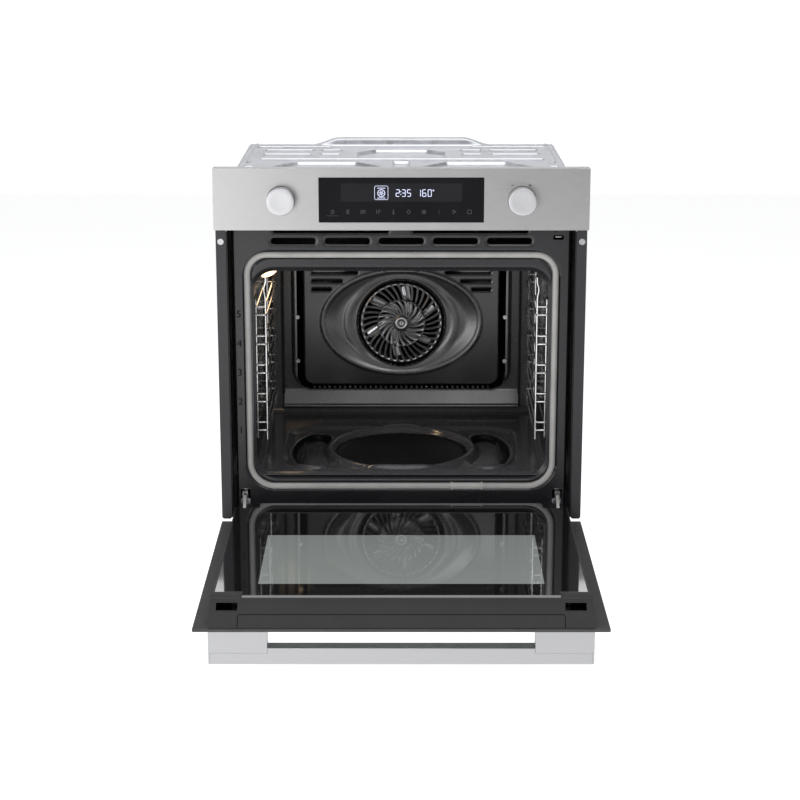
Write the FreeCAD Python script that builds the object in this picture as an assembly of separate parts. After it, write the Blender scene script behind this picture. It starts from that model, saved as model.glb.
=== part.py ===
import FreeCAD, Part
import math
import os

# A built-in oven for a 600 mm kitchen niche, drawn with its door open.
# X runs to the right as seen from the front, Y to the back and Z up, in millimetres.
# The origin is the middle of the base's underside.

V = FreeCAD.Vector
X_AXIS = V(1, 0, 0)
Y_AXIS = V(0, 1, 0)
Z_AXIS = V(0, 0, 1)
ORIGIN = V(0, 0, 0)

# Outer sizes
PANEL_Y = -299.0          # front plane of the control panel
BODY_DEPTH = 546.0        # from that plane to the back of the casing
FRONT_HALF = 297.0        # half width of the control panel and the door's front glass
FRONT_TOP = 594.0
PANEL_BOTTOM = 496.0
CASE_HALF = 279.0
CASE_TOP = 562.0
CASE_FRONT = 24.0         # depth at which the casing's sides start
SHEET = 1.2               # casing and cavity sheet
PANEL_SHEET = 1.5

# Front frame, seen with the door open
FRAME_DEPTH = 50.0
FRAME_HALF = 273.0
FRAME_BOTTOM = 8.0
FRAME_TOP = 498.0
MOUTH_HALF = 239.0
MOUTH_BOTTOM = 76.0
MOUTH_TOP = 420.0
MOUTH_RADIUS = 30.0
SEAL_HALF = 254.5
SEAL_BOTTOM = 53.6
SEAL_TOP = 452.7
SEAL_WIDTH = 10.0
SEAL_PROUD = 5.4
HINGE_X = 259.0
HINGE_SLOT = (251.0, 267.0, 26.0, 54.0)

# Cavity
CAVITY_HALF = 243.0
CAVITY_FLOOR = 80.0
CAVITY_ROOF = 428.0
CAVITY_REAR = 455.0
FAN_Z = 252.0
FAN_COVER_DEPTH = 425.0
FAN_COVER_HALF = 199.0
FAN_COVER_BOTTOM = 126.0
FAN_COVER_TOP = 405.0

# Tray supports
LEVEL_LOWER = [147.0, 195.8, 244.7, 293.5, 342.6]
LEVEL_GAP = 13.7
WIRE = 2.2
POST_X = 239.5
POST_FRONT = 78.0
POST_REAR = 352.0

# Controls
KNOB_X = 190.0
KNOB_Z = 544.0
KNOB_RADIUS = 22.0
KNOB_PROUD = 20.0
KNOB_HOLE = 22.6
SHAFT = 3.0
SHAFT_BORE = 3.05
FLAT_END = 26.0  # depth the flat runs to, past a pressed knob
GLASS_HALF = 130.0
GLASS_BOTTOM = 508.8
GLASS_TOP = 579.6

# Door, lying open: it runs forward from the hinge line
PIVOT_DEPTH = 16.0
PIVOT_Z = 16.0
DOOR_REAR = 27.0          # hinge edge of the front glass
DOOR_FRONT = -461.0       # free edge of the front glass
DOOR_HALF = 270.0
DOOR_THICK = 44.0
PANE = 4.0
TRIM_HALF = 273.5

OUT = "parts"


def at(depth):
    """Y of a plane lying this far behind the control panel's front."""
    return PANEL_Y + depth


def block(x, depth, z):
    """A box between pairs of limits: X, depth behind the panel's front, Z."""
    corner = V(x[0], at(depth[0]), z[0])
    return Part.makeBox(x[1] - x[0], depth[1] - depth[0], z[1] - z[0], corner)


def rod(radius, start, end):
    """A round bar between two points given as (X, depth, Z)."""
    first = V(start[0], at(start[1]), start[2])
    last = V(end[0], at(end[1]), end[2])
    return Part.makeCylinder(radius, (last - first).Length, first, last - first)


def fuse(shapes):
    """One solid from several that overlap or touch."""
    whole = shapes[0].multiFuse(shapes[1:]) if len(shapes) > 1 else shapes[0]
    return whole.removeSplitter()


def cut(shape, tools):
    """The shape with every tool taken away."""
    return shape.cut(Part.makeCompound(tools))


def mirrored(shape):
    """The same piece on the other side of the oven."""
    return shape.mirror(ORIGIN, X_AXIS)


def both(shape):
    """The piece and its mirror image as two solids."""
    return Part.makeCompound([shape, mirrored(shape)])


def place(axis, low, u, v):
    """A point of a section drawn across the axis."""
    if axis == "x":
        return V(low, at(u), v)
    if axis == "y":
        return V(u, at(low), v)
    return V(u, at(v), low)


def outline(points, radii, axis, low):
    """A closed wire through the points, each corner rounded by its radius."""
    flat = [V(p[0], p[1], 0) for p in points]
    corners = []
    for i, corner in enumerate(flat):
        radius = radii[i] if isinstance(radii, (list, tuple)) else radii
        if radius <= 0:
            corners.append((corner, None, corner))
            continue
        before = (flat[i - 1] - corner).normalize()
        after = (flat[(i + 1) % len(flat)] - corner).normalize()
        half = before.getAngle(after) / 2
        toward = (before + after).normalize()
        reach = radius / math.tan(half)
        middle = corner + toward * (radius / math.sin(half) - radius)
        corners.append((corner + before * reach, middle, corner + after * reach))
    edges = []
    for i, (start, middle, end) in enumerate(corners):
        if middle is not None:
            arc = [place(axis, low, p.x, p.y) for p in (start, middle, end)]
            edges.append(Part.Arc(*arc).toShape())
        following = corners[(i + 1) % len(corners)][0]
        if (following - end).Length > 1e-4:
            first = place(axis, low, end.x, end.y)
            last = place(axis, low, following.x, following.y)
            edges.append(Part.makeLine(first, last))
    return Part.Wire(edges)


def slab(points, radii, axis, low, high):
    """A section with rounded corners drawn out along the axis."""
    face = Part.Face(outline(points, radii, axis, low))
    step = {"x": X_AXIS, "y": Y_AXIS, "z": Z_AXIS}[axis] * (high - low)
    return face.extrude(step)


def rectangle(x, z):
    """Corner points of a rectangle, lower left first."""
    return [(x[0], z[0]), (x[1], z[0]), (x[1], z[1]), (x[0], z[1])]


def slot(x, z, depth):
    """A cutter with full round ends for a slot in a plate that faces front."""
    radius = min(x[1] - x[0], z[1] - z[0]) / 2 - 0.01
    return slab(rectangle(x, z), radius, "y", depth[0], depth[1])


def wire_path(points, bend, radius):
    """A bent round bar through (X, depth, Z) points."""
    spots = [V(p[0], at(p[1]), p[2]) for p in points]
    edges = []
    start = spots[0]
    for i in range(1, len(spots) - 1):
        back = (spots[i - 1] - spots[i]).normalize()
        ahead = (spots[i + 1] - spots[i]).normalize()
        half = back.getAngle(ahead) / 2
        reach = bend / math.tan(half)
        centre_way = (back + ahead).normalize()
        middle = spots[i] + centre_way * (bend / math.sin(half) - bend)
        edges.append(Part.makeLine(start, spots[i] + back * reach))
        edges.append(Part.Arc(spots[i] + back * reach, middle, spots[i] + ahead * reach).toShape())
        start = spots[i] + ahead * reach
    edges.append(Part.makeLine(start, spots[-1]))
    path = Part.Wire(edges)
    heading = (spots[1] - spots[0]).normalize()
    ring = Part.Wire(Part.makeCircle(radius, spots[0], heading))
    return path.makePipeShell([ring], True, False)


def export(name, shape):
    """Write one node."""
    shape.exportStep(os.path.join(OUT, name + ".step"))


# ---------------------------------------------------------------- casing

def base_pan():
    front = 52.0
    upstand = 6.0
    rib_height = 4.0
    rib_half_width = 5.0
    plate = block((-CASE_HALF + SHEET, CASE_HALF - SHEET), (front, BODY_DEPTH), (0, SHEET))
    lip = block((-CASE_HALF + SHEET, CASE_HALF - SHEET), (front, front + SHEET), (0, upstand))
    ribs = []
    for x in (-160.0, 0.0, 160.0):
        side = (x - rib_half_width, x + rib_half_width)
        ribs.append(block(side, (110, 500), (0, SHEET + rib_height)))
    return fuse([plate, lip] + ribs)


def side_panel():
    """Right-hand casing side with its outward mounting flange."""
    flange_out = 294.0
    flange = block((CASE_HALF - SHEET, flange_out), (CASE_FRONT, CASE_FRONT + SHEET), (12, 490))
    wall = block((CASE_HALF - SHEET, CASE_HALF), (CASE_FRONT, BODY_DEPTH), (0, CASE_TOP - SHEET))
    door_room = block((CASE_HALF - 5, CASE_HALF + 5), (CASE_FRONT - 1, 50), (-1, 12))
    side = fuse([wall.cut(door_room), flange])
    slots = []
    slot_length = 60.0
    slot_height = 5.0
    for row in range(6):
        z = 470.0 + row * 12.0
        for depth in (380.0, 460.0):
            slots.append(block((CASE_HALF - 5, CASE_HALF + 5), (depth, depth + slot_length),
                               (z, z + slot_height)))
    for row in range(5):
        z = 30.0 + row * 12.0
        slots.append(block((CASE_HALF - 5, CASE_HALF + 5), (420, 500), (z, z + slot_height)))
    fixing = rod(2.5, (288.0, CASE_FRONT - 1, 474.3), (288.0, CASE_FRONT + 3, 474.3))
    return cut(side, slots + [fixing])


HUMP_BASE = 164.0
HUMP_TOP = 112.0
HUMP_RISE = 13.0


def hump_section(inset):
    """Raised part at the back edge of the top, over the blower's outlet."""
    return [
        (-HUMP_BASE + inset / 6, CASE_TOP - inset), (HUMP_BASE - inset / 6, CASE_TOP - inset),
        (HUMP_TOP - inset / 6, CASE_TOP + HUMP_RISE - inset),
        (-HUMP_TOP + inset / 6, CASE_TOP + HUMP_RISE - inset)]


def pressed_tray(points, drop):
    """A sunk area of the top: the opening to cut and the tray to add."""
    rim = outline(points, 0, "z", CASE_TOP)
    opening = Part.Face(rim).extrude(V(0, 0, -drop))
    wide = Part.Face(rim.makeOffset2D(SHEET, 2)).extrude(V(0, 0, -drop - SHEET))
    return opening, wide


def top_cover():
    front = 62.0
    drop = 5.0
    rib_high = 2.4
    rib_half = 3.5
    plate = block((-CASE_HALF, CASE_HALF), (front, BODY_DEPTH), (CASE_TOP - SHEET, CASE_TOP))
    trays = [
        [(-221, 110), (-221, 252), (-178, 308), (-79, 308), (-37, 252), (-37, 110)],
        [(221, 110), (221, 252), (178, 308), (79, 308), (37, 252), (37, 110)],
        [(-76, 362), (-76, 436), (-45, 468), (45, 468), (76, 436), (76, 362)],
        [(-13, 230), (-13, 318), (13, 318), (13, 230)]]
    solids = [plate]
    openings = []
    for points in trays:
        opening, wide = pressed_tray(points, drop)
        openings.append(opening)
        solids.append(wide)
    hump_front = 524.0
    hump = slab(hump_section(0), 0, "y", hump_front, BODY_DEPTH)
    hollow = slab(hump_section(SHEET), 0, "y", hump_front + SHEET, BODY_DEPTH + 1)
    solids.append(hump)
    ribs = [(-262, -126, 505), (126, 262, 505), (-244, -157, 459), (-143, -106, 459),
            (157, 244, 459), (106, 143, 459), (-244, -159, 404), (-143, -107, 404),
            (159, 244, 404), (107, 143, 404), (-246, 248, 340)]
    for left, right, depth in ribs:
        ridge = [(left, depth - rib_half), (right, depth - rib_half),
                 (right, depth + rib_half), (left, depth + rib_half)]
        solids.append(slab(ridge, rib_half - 0.01, "z", CASE_TOP - SHEET, CASE_TOP + rib_high))
    crease_x = 263.5
    crease = block((crease_x, crease_x + 2.4), (300, BODY_DEPTH - 6), (CASE_TOP - SHEET, CASE_TOP + 1.0))
    solids += [crease, mirrored(crease)]
    bridge = block((252, 266), (240, 250), (CASE_TOP - SHEET, CASE_TOP + rib_high))
    solids += [bridge, mirrored(bridge)]
    cover = fuse(solids)
    return cut(cover, openings + [hollow])


TERMINAL_X = (140.0, 232.0)
TERMINAL_Z = (466.0, 536.0)
TERMINAL_DEEP = 14.0
GLAND = 7.0


def rear_panel():
    low = CASE_TOP - SHEET
    inner = CASE_HALF - SHEET
    high = low + HUMP_RISE - 0.1
    section = [(-inner, SHEET), (inner, SHEET), (inner, low), (HUMP_BASE - 1, low),
               (HUMP_TOP - 1, high), (-HUMP_TOP + 1, high), (-HUMP_BASE + 1, low), (-inner, low)]
    plate = slab(section, 0, "y", BODY_DEPTH - SHEET, BODY_DEPTH)
    holes = []
    slot_step = 13.0
    for row in range(7):
        z = 440.0 + row * slot_step
        holes.append(block((-230, -60), (BODY_DEPTH - 5, BODY_DEPTH + 5), (z, z + 5)))
    for row in range(5):
        z = 30.0 + row * slot_step
        for x in (-220.0, -60.0, 100.0):
            holes.append(block((x, x + 120), (BODY_DEPTH - 5, BODY_DEPTH + 5), (z, z + 5)))
    outlet = slot((-100, 100), (561.5, 570.5), (BODY_DEPTH - 5, BODY_DEPTH + 5))
    wires = rod(9.0, (186, BODY_DEPTH - 5, 500), (186, BODY_DEPTH + 5, 500))
    ring_radius = 52.0
    for k in range(24):
        angle = math.radians(15 * k)
        x = ring_radius * math.cos(angle)
        z = FAN_Z + ring_radius * math.sin(angle)
        holes.append(rod(4.0, (x, BODY_DEPTH - 5, z), (x, BODY_DEPTH + 5, z)))
    return cut(plate, holes + [outlet, wires])


def terminal_cover():
    """Box over the mains terminals, with the cable's way in underneath."""
    wall = 2.0
    outer = slab(rectangle(TERMINAL_X, TERMINAL_Z), 4.0, "y", BODY_DEPTH, BODY_DEPTH + TERMINAL_DEEP)
    x = (TERMINAL_X[0] + wall, TERMINAL_X[1] - wall)
    z = (TERMINAL_Z[0] + 6.0, TERMINAL_Z[1] - wall)
    inner = slab(rectangle(x, z), 2.0, "y", BODY_DEPTH - 1, BODY_DEPTH + TERMINAL_DEEP - wall)
    gland_depth = BODY_DEPTH + TERMINAL_DEEP / 2
    gland = rod(4.5, (186, gland_depth, TERMINAL_Z[0] - 2), (186, gland_depth, TERMINAL_Z[0] + 8))
    return cut(outer, [inner, gland])


def side_trim():
    """Right-hand cover strip on the mounting flange."""
    inner = 279.6
    outer = 296.0
    front = 20.0
    bottom = 10.5
    strip = slab(rectangle((inner, outer), (bottom, PANEL_BOTTOM)), [4, 4, 0, 0], "y", front, CASE_FRONT)
    fixing = rod(2.5, (288.0, front - 1, 474.3), (288.0, CASE_FRONT + 1, 474.3))
    lip = slab(rectangle((outer - 1.6, outer), (bottom + 4, 492)), 0, "y", CASE_FRONT, CASE_FRONT + 6)
    return cut(fuse([strip, lip]), [fixing])


def fixing_caps():
    """Two round caps closing the holes of the cabinet screws."""
    head = rod(5.2, (288.0, 18.6, 474.3), (288.0, 20.0, 474.3))
    plug = rod(2.5, (288.0, 20.0, 474.3), (288.0, CASE_FRONT + SHEET, 474.3))
    cap = fuse([head, plug])
    rim = cap.Edges
    front_edges = [e for e in rim if abs(e.BoundBox.YMax - at(18.6)) < 0.01]
    return both(cap.makeFillet(0.5, front_edges))


# ---------------------------------------------------------------- front frame and seal

def front_frame():
    """Enamelled front of the oven with the mouth, air slots and hinge slots."""
    back = FRAME_DEPTH + SHEET
    rim_depth = 12.0
    cutter = (FRAME_DEPTH - 5, FRAME_DEPTH + 20)
    rect = rectangle((-FRAME_HALF, FRAME_HALF), (FRAME_BOTTOM, FRAME_TOP))
    inner = rectangle((-FRAME_HALF + SHEET, FRAME_HALF - SHEET), (FRAME_BOTTOM + SHEET, FRAME_TOP + 1))
    shell = slab(rect, [3, 3, 0, 0], "y", FRAME_DEPTH, FRAME_DEPTH + rim_depth)
    shell = shell.cut(slab(inner, [1.8, 1.8, 0, 0], "y", back, FRAME_DEPTH + rim_depth + 1))
    mouth = slab(rectangle((-MOUTH_HALF, MOUTH_HALF), (MOUTH_BOTTOM, MOUTH_TOP)),
                 [38, 38, MOUTH_RADIUS, MOUTH_RADIUS], "y", cutter[0], cutter[1])
    holes = [mouth]
    vent_pitch = 87.0
    vent_half = 36.4
    for k in range(-2, 3):
        centre = k * vent_pitch
        holes.append(slot((centre - vent_half, centre + vent_half), (464.4, 475.2), cutter))
    for left, right in ((-210, -15.5), (13.5, 209)):
        shape = [(left, 493), (left + 6, 482.6), (right - 6, 482.6), (right, 493)]
        holes.append(slab(shape, 2.0, "y", cutter[0], cutter[1]))
    holes.append(slab(rectangle((244.2, 261.2), (472.0, 479.6)), 1.0, "y", cutter[0], cutter[1]))
    holes.append(rod(1.3, (248.0, cutter[0], 485.4), (248.0, cutter[1], 485.4)))
    x = (HINGE_SLOT[0], HINGE_SLOT[1])
    z = (HINGE_SLOT[2], HINGE_SLOT[3])
    hinge = slab(rectangle(x, z), 2.0, "y", cutter[0], cutter[1])
    holes += [hinge, mirrored(hinge)]
    return cut(shell, holes)


def door_seal():
    """Round-edged rope seal, with a short sleeve over its joint at the bottom."""
    front = FRAME_DEPTH - SEAL_PROUD
    outer = slab(rectangle((-SEAL_HALF, SEAL_HALF), (SEAL_BOTTOM, SEAL_TOP)), [46, 46, 37, 37], "y",
                 front, FRAME_DEPTH)
    x = (-SEAL_HALF + SEAL_WIDTH, SEAL_HALF - SEAL_WIDTH)
    z = (SEAL_BOTTOM + SEAL_WIDTH, SEAL_TOP - SEAL_WIDTH)
    inner = slab(rectangle(x, z), [36, 36, 27, 27], "y", front - 1, FRAME_DEPTH + 1)
    ring = outer.cut(inner)
    edges = [e for e in ring.Edges if abs(e.BoundBox.YMax - at(front)) < 0.01
             and abs(e.BoundBox.YMin - at(front)) < 0.01]
    ring = ring.makeFillet(3.2, edges)
    sleeve_x = (84.0, 133.0)
    gap = block((sleeve_x[0], sleeve_x[1]), (front - 1, FRAME_DEPTH + 1),
                (SEAL_BOTTOM - 2, SEAL_BOTTOM + SEAL_WIDTH + 2))
    ring = ring.cut(gap)
    z = (SEAL_BOTTOM - 0.6, SEAL_BOTTOM + SEAL_WIDTH + 0.6)
    section = [(front - 0.3, z[0]), (FRAME_DEPTH, z[0]), (FRAME_DEPTH, z[1]), (front - 0.3, z[1])]
    sleeve = slab(section, [3.4, 0, 0, 3.4], "x", sleeve_x[0], sleeve_x[1])
    return Part.makeCompound([ring, sleeve])


# ---------------------------------------------------------------- cavity

def cavity_wrapper():
    """Roof and sides of the cooking space in one bent sheet."""
    inner_radius = 14.0
    low = CAVITY_FLOOR - SHEET
    x = CAVITY_HALF + SHEET
    start = FRAME_DEPTH + SHEET
    outer = slab([(-x, low), (x, low), (x, CAVITY_ROOF + SHEET), (-x, CAVITY_ROOF + SHEET)],
                 [0, 0, inner_radius + SHEET, inner_radius + SHEET], "y", start, CAVITY_REAR)
    inner = slab([(-CAVITY_HALF, low - 1), (CAVITY_HALF, low - 1), (CAVITY_HALF, CAVITY_ROOF),
                  (-CAVITY_HALF, CAVITY_ROOF)], [0, 0, inner_radius, inner_radius], "y",
                 start - 1, CAVITY_REAR + 1)
    lamp = rod(25.0, (-CAVITY_HALF - 5, LAMP_DEPTH, LAMP_Z), (-CAVITY_HALF + 5, LAMP_DEPTH, LAMP_Z))
    return outer.cut(inner).cut(lamp)


def ellipse_ring(half_x, half_y, width, centre_depth, low, high):
    """A raised oval ring on the cavity's floor."""
    centre = V(0, at(centre_depth), low)
    big = Part.Ellipse(centre, half_x, half_y).toShape()
    small = Part.Ellipse(centre, half_x - width, half_y - width).toShape()
    rise = V(0, 0, high - low)
    outer = Part.Face(Part.Wire(big)).extrude(rise)
    return outer.cut(Part.Face(Part.Wire(small)).extrude(rise))


def cavity_floor():
    """Floor with its pressed oval, side ridges and front ridge."""
    rise = 2.0
    start = FRAME_DEPTH + SHEET
    top = CAVITY_FLOOR
    plate = block((-CAVITY_HALF, CAVITY_HALF), (start, CAVITY_REAR), (top - SHEET, top))
    oval = ellipse_ring(142, 132, 9, 245, top - SHEET, top + rise)
    inner = ellipse_ring(118, 60, 6, 245, top - SHEET, top + rise)
    solids = [plate, oval, inner]
    for x in (175.0, 205.0):
        ridge = [(x - 3, 120), (x + 3, 120), (x + 3, 380), (x - 3, 380)]
        bar = slab(ridge, 2.9, "z", top - SHEET, top + rise)
        solids += [bar, mirrored(bar)]
    lip = block((-CAVITY_HALF + 6, CAVITY_HALF - 6), (start, start + 6), (top - SHEET, top + 1))
    fold = block((-CAVITY_HALF, CAVITY_HALF), (start, start + SHEET), (top - 12, top))
    solids += [lip, fold]
    return fuse(solids)


def cavity_rear_wall():
    plate = block((-CAVITY_HALF - SHEET, CAVITY_HALF + SHEET), (CAVITY_REAR, CAVITY_REAR + SHEET),
                  (CAVITY_FLOOR - SHEET, CAVITY_ROOF + SHEET))
    shaft = rod(8.0, (0, CAVITY_REAR - 5, FAN_Z), (0, CAVITY_REAR + 5, FAN_Z))
    fold = slab([(CAVITY_REAR, CAVITY_FLOOR), (CAVITY_REAR, CAVITY_FLOOR + 8),
                 (CAVITY_REAR - 8, CAVITY_FLOOR)], 0, "x", -219, 219)
    return fuse([plate, fold]).cut(shaft)


def grille_openings():
    """Two rings of slanting openings in front of the fan."""
    tools = []
    cutter = (FAN_COVER_DEPTH - 6, FAN_COVER_DEPTH + 8)
    for inner, outer, count, width, lean in ((17.0, 40.0, 20, 4.2, 14.0), (45.0, 69.0, 36, 5.4, 10.0)):
        for k in range(count):
            turn = 2 * math.pi * k / count
            lean_angle = math.radians(lean)
            near = (inner * math.cos(turn), inner * math.sin(turn))
            far = (outer * math.cos(turn + lean_angle), outer * math.sin(turn + lean_angle))
            along = V(far[0] - near[0], far[1] - near[1], 0).normalize()
            across = V(-along.y, along.x, 0) * (width / 2)
            points = [(near[0] - across.x, FAN_Z + near[1] - across.y),
                      (far[0] - across.x, FAN_Z + far[1] - across.y),
                      (far[0] + across.x, FAN_Z + far[1] + across.y),
                      (near[0] + across.x, FAN_Z + near[1] + across.y)]
            tools.append(slab(points, width / 2 - 0.05, "y", cutter[0], cutter[1]))
    return tools


def fan_cover():
    """Shallow pan over the fan with its grille, side slots and pressed ovals."""
    step = 4.0
    step_half = 179.0
    step_bottom = FAN_COVER_BOTTOM + 16.0
    step_top = FAN_COVER_TOP - 16.0
    front = FAN_COVER_DEPTH
    rect = rectangle((-FAN_COVER_HALF, FAN_COVER_HALF), (FAN_COVER_BOTTOM, FAN_COVER_TOP))
    inside = rectangle((-FAN_COVER_HALF + SHEET, FAN_COVER_HALF - SHEET),
                       (FAN_COVER_BOTTOM + SHEET, FAN_COVER_TOP - SHEET))
    raised = rectangle((-step_half, step_half), (step_bottom, step_top))
    raised_in = rectangle((-step_half + SHEET, step_half - SHEET), (step_bottom + SHEET, step_top - SHEET))
    pan = slab(rect, 34.0, "y", front + step, CAVITY_REAR)
    pan = pan.cut(slab(inside, 34.0 - SHEET, "y", front + step + SHEET, CAVITY_REAR + 1))
    pan = fuse([pan, slab(raised, 30.0, "y", front, front + step + SHEET)])
    pan = pan.cut(slab(raised_in, 30.0 - SHEET, "y", front + SHEET, front + step + SHEET + 1))
    cutter = (front - 3, front + 3)
    holes = grille_openings()
    rows = [(345.0, 79.0, 163.0), (329.0, 107.0, 163.0), (313.8, 127.0, 163.0)]
    slot_height = 5.0
    for z, near, far in rows:
        holes.append(slot((near, far), (z - slot_height / 2, z + slot_height / 2), cutter))
        holes.append(slot((-far, -near), (z - slot_height / 2, z + slot_height / 2), cutter))
        low = 2 * FAN_Z - z + 12
        holes.append(slot((near, far), (low - slot_height / 2, low + slot_height / 2), cutter))
        holes.append(slot((-far, -near), (low - slot_height / 2, low + slot_height / 2), cutter))
    ring = Part.makeCylinder(80, 1.5, V(0, at(front - 1.5), FAN_Z), Y_AXIS)
    ring = ring.cut(Part.makeCylinder(76, 3, V(0, at(front - 2), FAN_Z), Y_AXIS))
    pan = fuse([pan, ring])
    return cut(pan, holes)


def fan_cover_screws():
    """Screws that hold the fan cover to the rear wall."""
    screws = []
    for x in (-189.0, 189.0):
        for z in (180.0, 262.0, 352.0):
            start = FAN_COVER_DEPTH + 4.0
            screws.append(rod(3.6, (x, start - 2.2, z), (x, start, z)))
    return Part.makeCompound(screws)


def ring_element():
    ring = Part.makeTorus(96, 3.2, V(0, at(441), FAN_Z), Y_AXIS)
    return ring


def grill_element():
    """Roof element, a bent tube in four runs."""
    z = 413.0
    rear = 452.0
    points = [(-150, rear, z), (-150, 95, z), (-90, 95, z), (-90, 380, z), (-30, 380, z), (-30, 95, z),
              (30, 95, z), (30, 380, z), (90, 380, z), (90, 95, z), (150, 95, z), (150, rear, z)]
    return wire_path(points, 14.0, 3.2)


def bottom_element():
    z = 68.0
    points = [(-170, 430, z), (-170, 110, z), (170, 110, z), (170, 430, z)]
    return wire_path(points, 40.0, 3.2)


LAMP_DEPTH = 300.0
LAMP_Z = 389.0


def lamp_glass():
    """Domed lens on the left wall."""
    base = 27.0
    wall_x = -CAVITY_HALF
    reach = 31.0
    ball = (base ** 2 + reach ** 2) / (2 * reach)
    sphere = Part.makeSphere(ball, V(wall_x + reach - ball, at(LAMP_DEPTH), LAMP_Z))
    hollow = Part.makeSphere(ball - 2.5, V(wall_x + reach - ball, at(LAMP_DEPTH), LAMP_Z))
    keep = block((wall_x, wall_x + 60), (LAMP_DEPTH - 60, LAMP_DEPTH + 60), (LAMP_Z - 60, LAMP_Z + 60))
    return sphere.common(keep).cut(hollow)


def lamp_housing():
    """Cup behind the left wall that holds the bulb."""
    low = -CAVITY_HALF - SHEET - 22
    cup = rod(24.8, (low, LAMP_DEPTH, LAMP_Z), (-CAVITY_HALF, LAMP_DEPTH, LAMP_Z))
    hollow = rod(22.5, (low + 2, LAMP_DEPTH, LAMP_Z), (-CAVITY_HALF + 1, LAMP_DEPTH, LAMP_Z))
    socket_hole = rod(6.0, (low - 1, LAMP_DEPTH, LAMP_Z), (low + 3, LAMP_DEPTH, LAMP_Z))
    return cut(cup, [hollow, socket_hole])


def lamp_bulb():
    low = -CAVITY_HALF - SHEET - 22
    base = rod(6.0, (low, LAMP_DEPTH, LAMP_Z), (low + 12, LAMP_DEPTH, LAMP_Z))
    glass = Part.makeSphere(10.5, V(low + 20, at(LAMP_DEPTH), LAMP_Z))
    return fuse([base, glass])


def side_rack():
    """Right-hand tray support: straight welded wires, each its own bar."""
    post = 2.0
    wires = []
    front_bar = POST_FRONT - post - WIRE
    rear_bar = POST_REAR + post + WIRE
    bottom = 128.0
    top = 372.0
    for depth in (POST_FRONT, POST_REAR):
        wires.append(rod(post, (POST_X, depth, bottom), (POST_X, depth, top)))
    for lower in LEVEL_LOWER:
        for z, x in ((lower, 221.0), (lower + LEVEL_GAP, 224.0)):
            wires.append(rod(WIRE, (x, front_bar - WIRE, z), (x, rear_bar + WIRE, z)))
            for depth in (front_bar, rear_bar):
                wires.append(rod(WIRE, (x + WIRE, depth, z), (POST_X + 2.5, depth, z)))
    return Part.makeCompound(wires)


def rack_studs():
    """Round nuts on the cavity's sides that carry the tray supports."""
    studs = []
    for depth in (POST_FRONT + 12.0, POST_REAR - 12.0):
        for z in (136.0, 364.0):
            nut = rod(6.0, (CAVITY_HALF - 4.5, depth, z), (CAVITY_HALF, depth, z))
            studs.append(nut)
            studs.append(mirrored(nut))
    return Part.makeCompound(studs)


def temperature_probe():
    tube = rod(2.0, (214, 380, 392), (214, CAVITY_REAR, 392))
    collar = rod(5.0, (214, CAVITY_REAR - 4, 392), (214, CAVITY_REAR, 392))
    return fuse([tube, collar])


# ---------------------------------------------------------------- hidden works

def insulation():
    """Mineral wool blankets round the cavity."""
    side = block((CAVITY_HALF + 3, 268), (66, 268), (84, 430))
    thin = block((CAVITY_HALF + 3, 268), (332, 446), (84, 430))
    rear_low = block((-230, 230), (459, 474), (90, 200))
    rear_high = block((-230, 230), (459, 474), (304, 420))
    roof = block((-235, 235), (66, 446), (432, 446))
    under = block((-235, 235), (80, 446), (44, 60))
    return Part.makeCompound([side, mirrored(side), thin, mirrored(thin), rear_low, rear_high, roof, under])


def convection_fan():
    """Bladed wheel on its shaft behind the fan cover."""
    disc = rod(68.0, (0, 447.5, FAN_Z), (0, 448.7, FAN_Z))
    hub = rod(9.0, (0, 436.0, FAN_Z), (0, 448.7, FAN_Z))
    shaft = rod(SHAFT, (0, 440.0, FAN_Z), (0, 500.0, FAN_Z))
    nut = rod(5.0, (0, 430.5, FAN_Z), (0, 436.0, FAN_Z))
    parts = [disc, hub, shaft, nut]
    blades = 6
    chord = 18.0
    pitch = 40.0
    middle = 441.0
    for k in range(blades):
        blade = block((24, 66), (middle - chord / 2, middle + chord / 2), (FAN_Z - 0.7, FAN_Z + 0.7))
        blade.rotate(V(45, at(middle), FAN_Z), X_AXIS, pitch)
        blade.rotate(V(0, 0, FAN_Z), Y_AXIS, 360.0 * k / blades - 38)
        parts.append(blade)
    return fuse(parts)


def convection_motor():
    body = rod(30.0, (0, 478.0, FAN_Z), (0, 520.0, FAN_Z))
    neck = rod(10.0, (0, 466.0, FAN_Z), (0, 478.0, FAN_Z))
    plate = block((-48, 48), (474.0, 478.0), (FAN_Z - 12, FAN_Z + 12))
    feet = []
    for x in (-46.0, 38.0):
        feet.append(block((x, x + 8), (CAVITY_REAR + SHEET, 474.0), (FAN_Z - 10, FAN_Z + 10)))
    bore = rod(SHAFT_BORE, (0, 460.0, FAN_Z), (0, 503.0, FAN_Z))
    return fuse([body, neck, plate] + feet).cut(bore)


BLOWER_DEPTH = 425.0
BLOWER_Z = 503.0


def blower_housing():
    """Open-fronted scroll over the cavity roof, with the motor on its right end."""
    half = 106.0
    wall = 1.6
    inner_front = 384.0
    rear = 468.0
    floor = block((-half, half), (inner_front, rear), (462, 462 + wall))
    back = block((-half, half), (rear - wall, rear), (462, 545))
    ends = []
    for x in (-half, half - wall):
        ends.append(block((x, x + wall), (inner_front, rear), (462, 545)))
    motor = rod(24.0, (half, BLOWER_DEPTH, BLOWER_Z), (half + 34, BLOWER_DEPTH, BLOWER_Z))
    shell = fuse([floor, back] + ends + [motor])
    bore = rod(SHAFT_BORE, (-half - 5, BLOWER_DEPTH, BLOWER_Z), (half + 30, BLOWER_DEPTH, BLOWER_Z))
    return shell.cut(bore)


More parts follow.
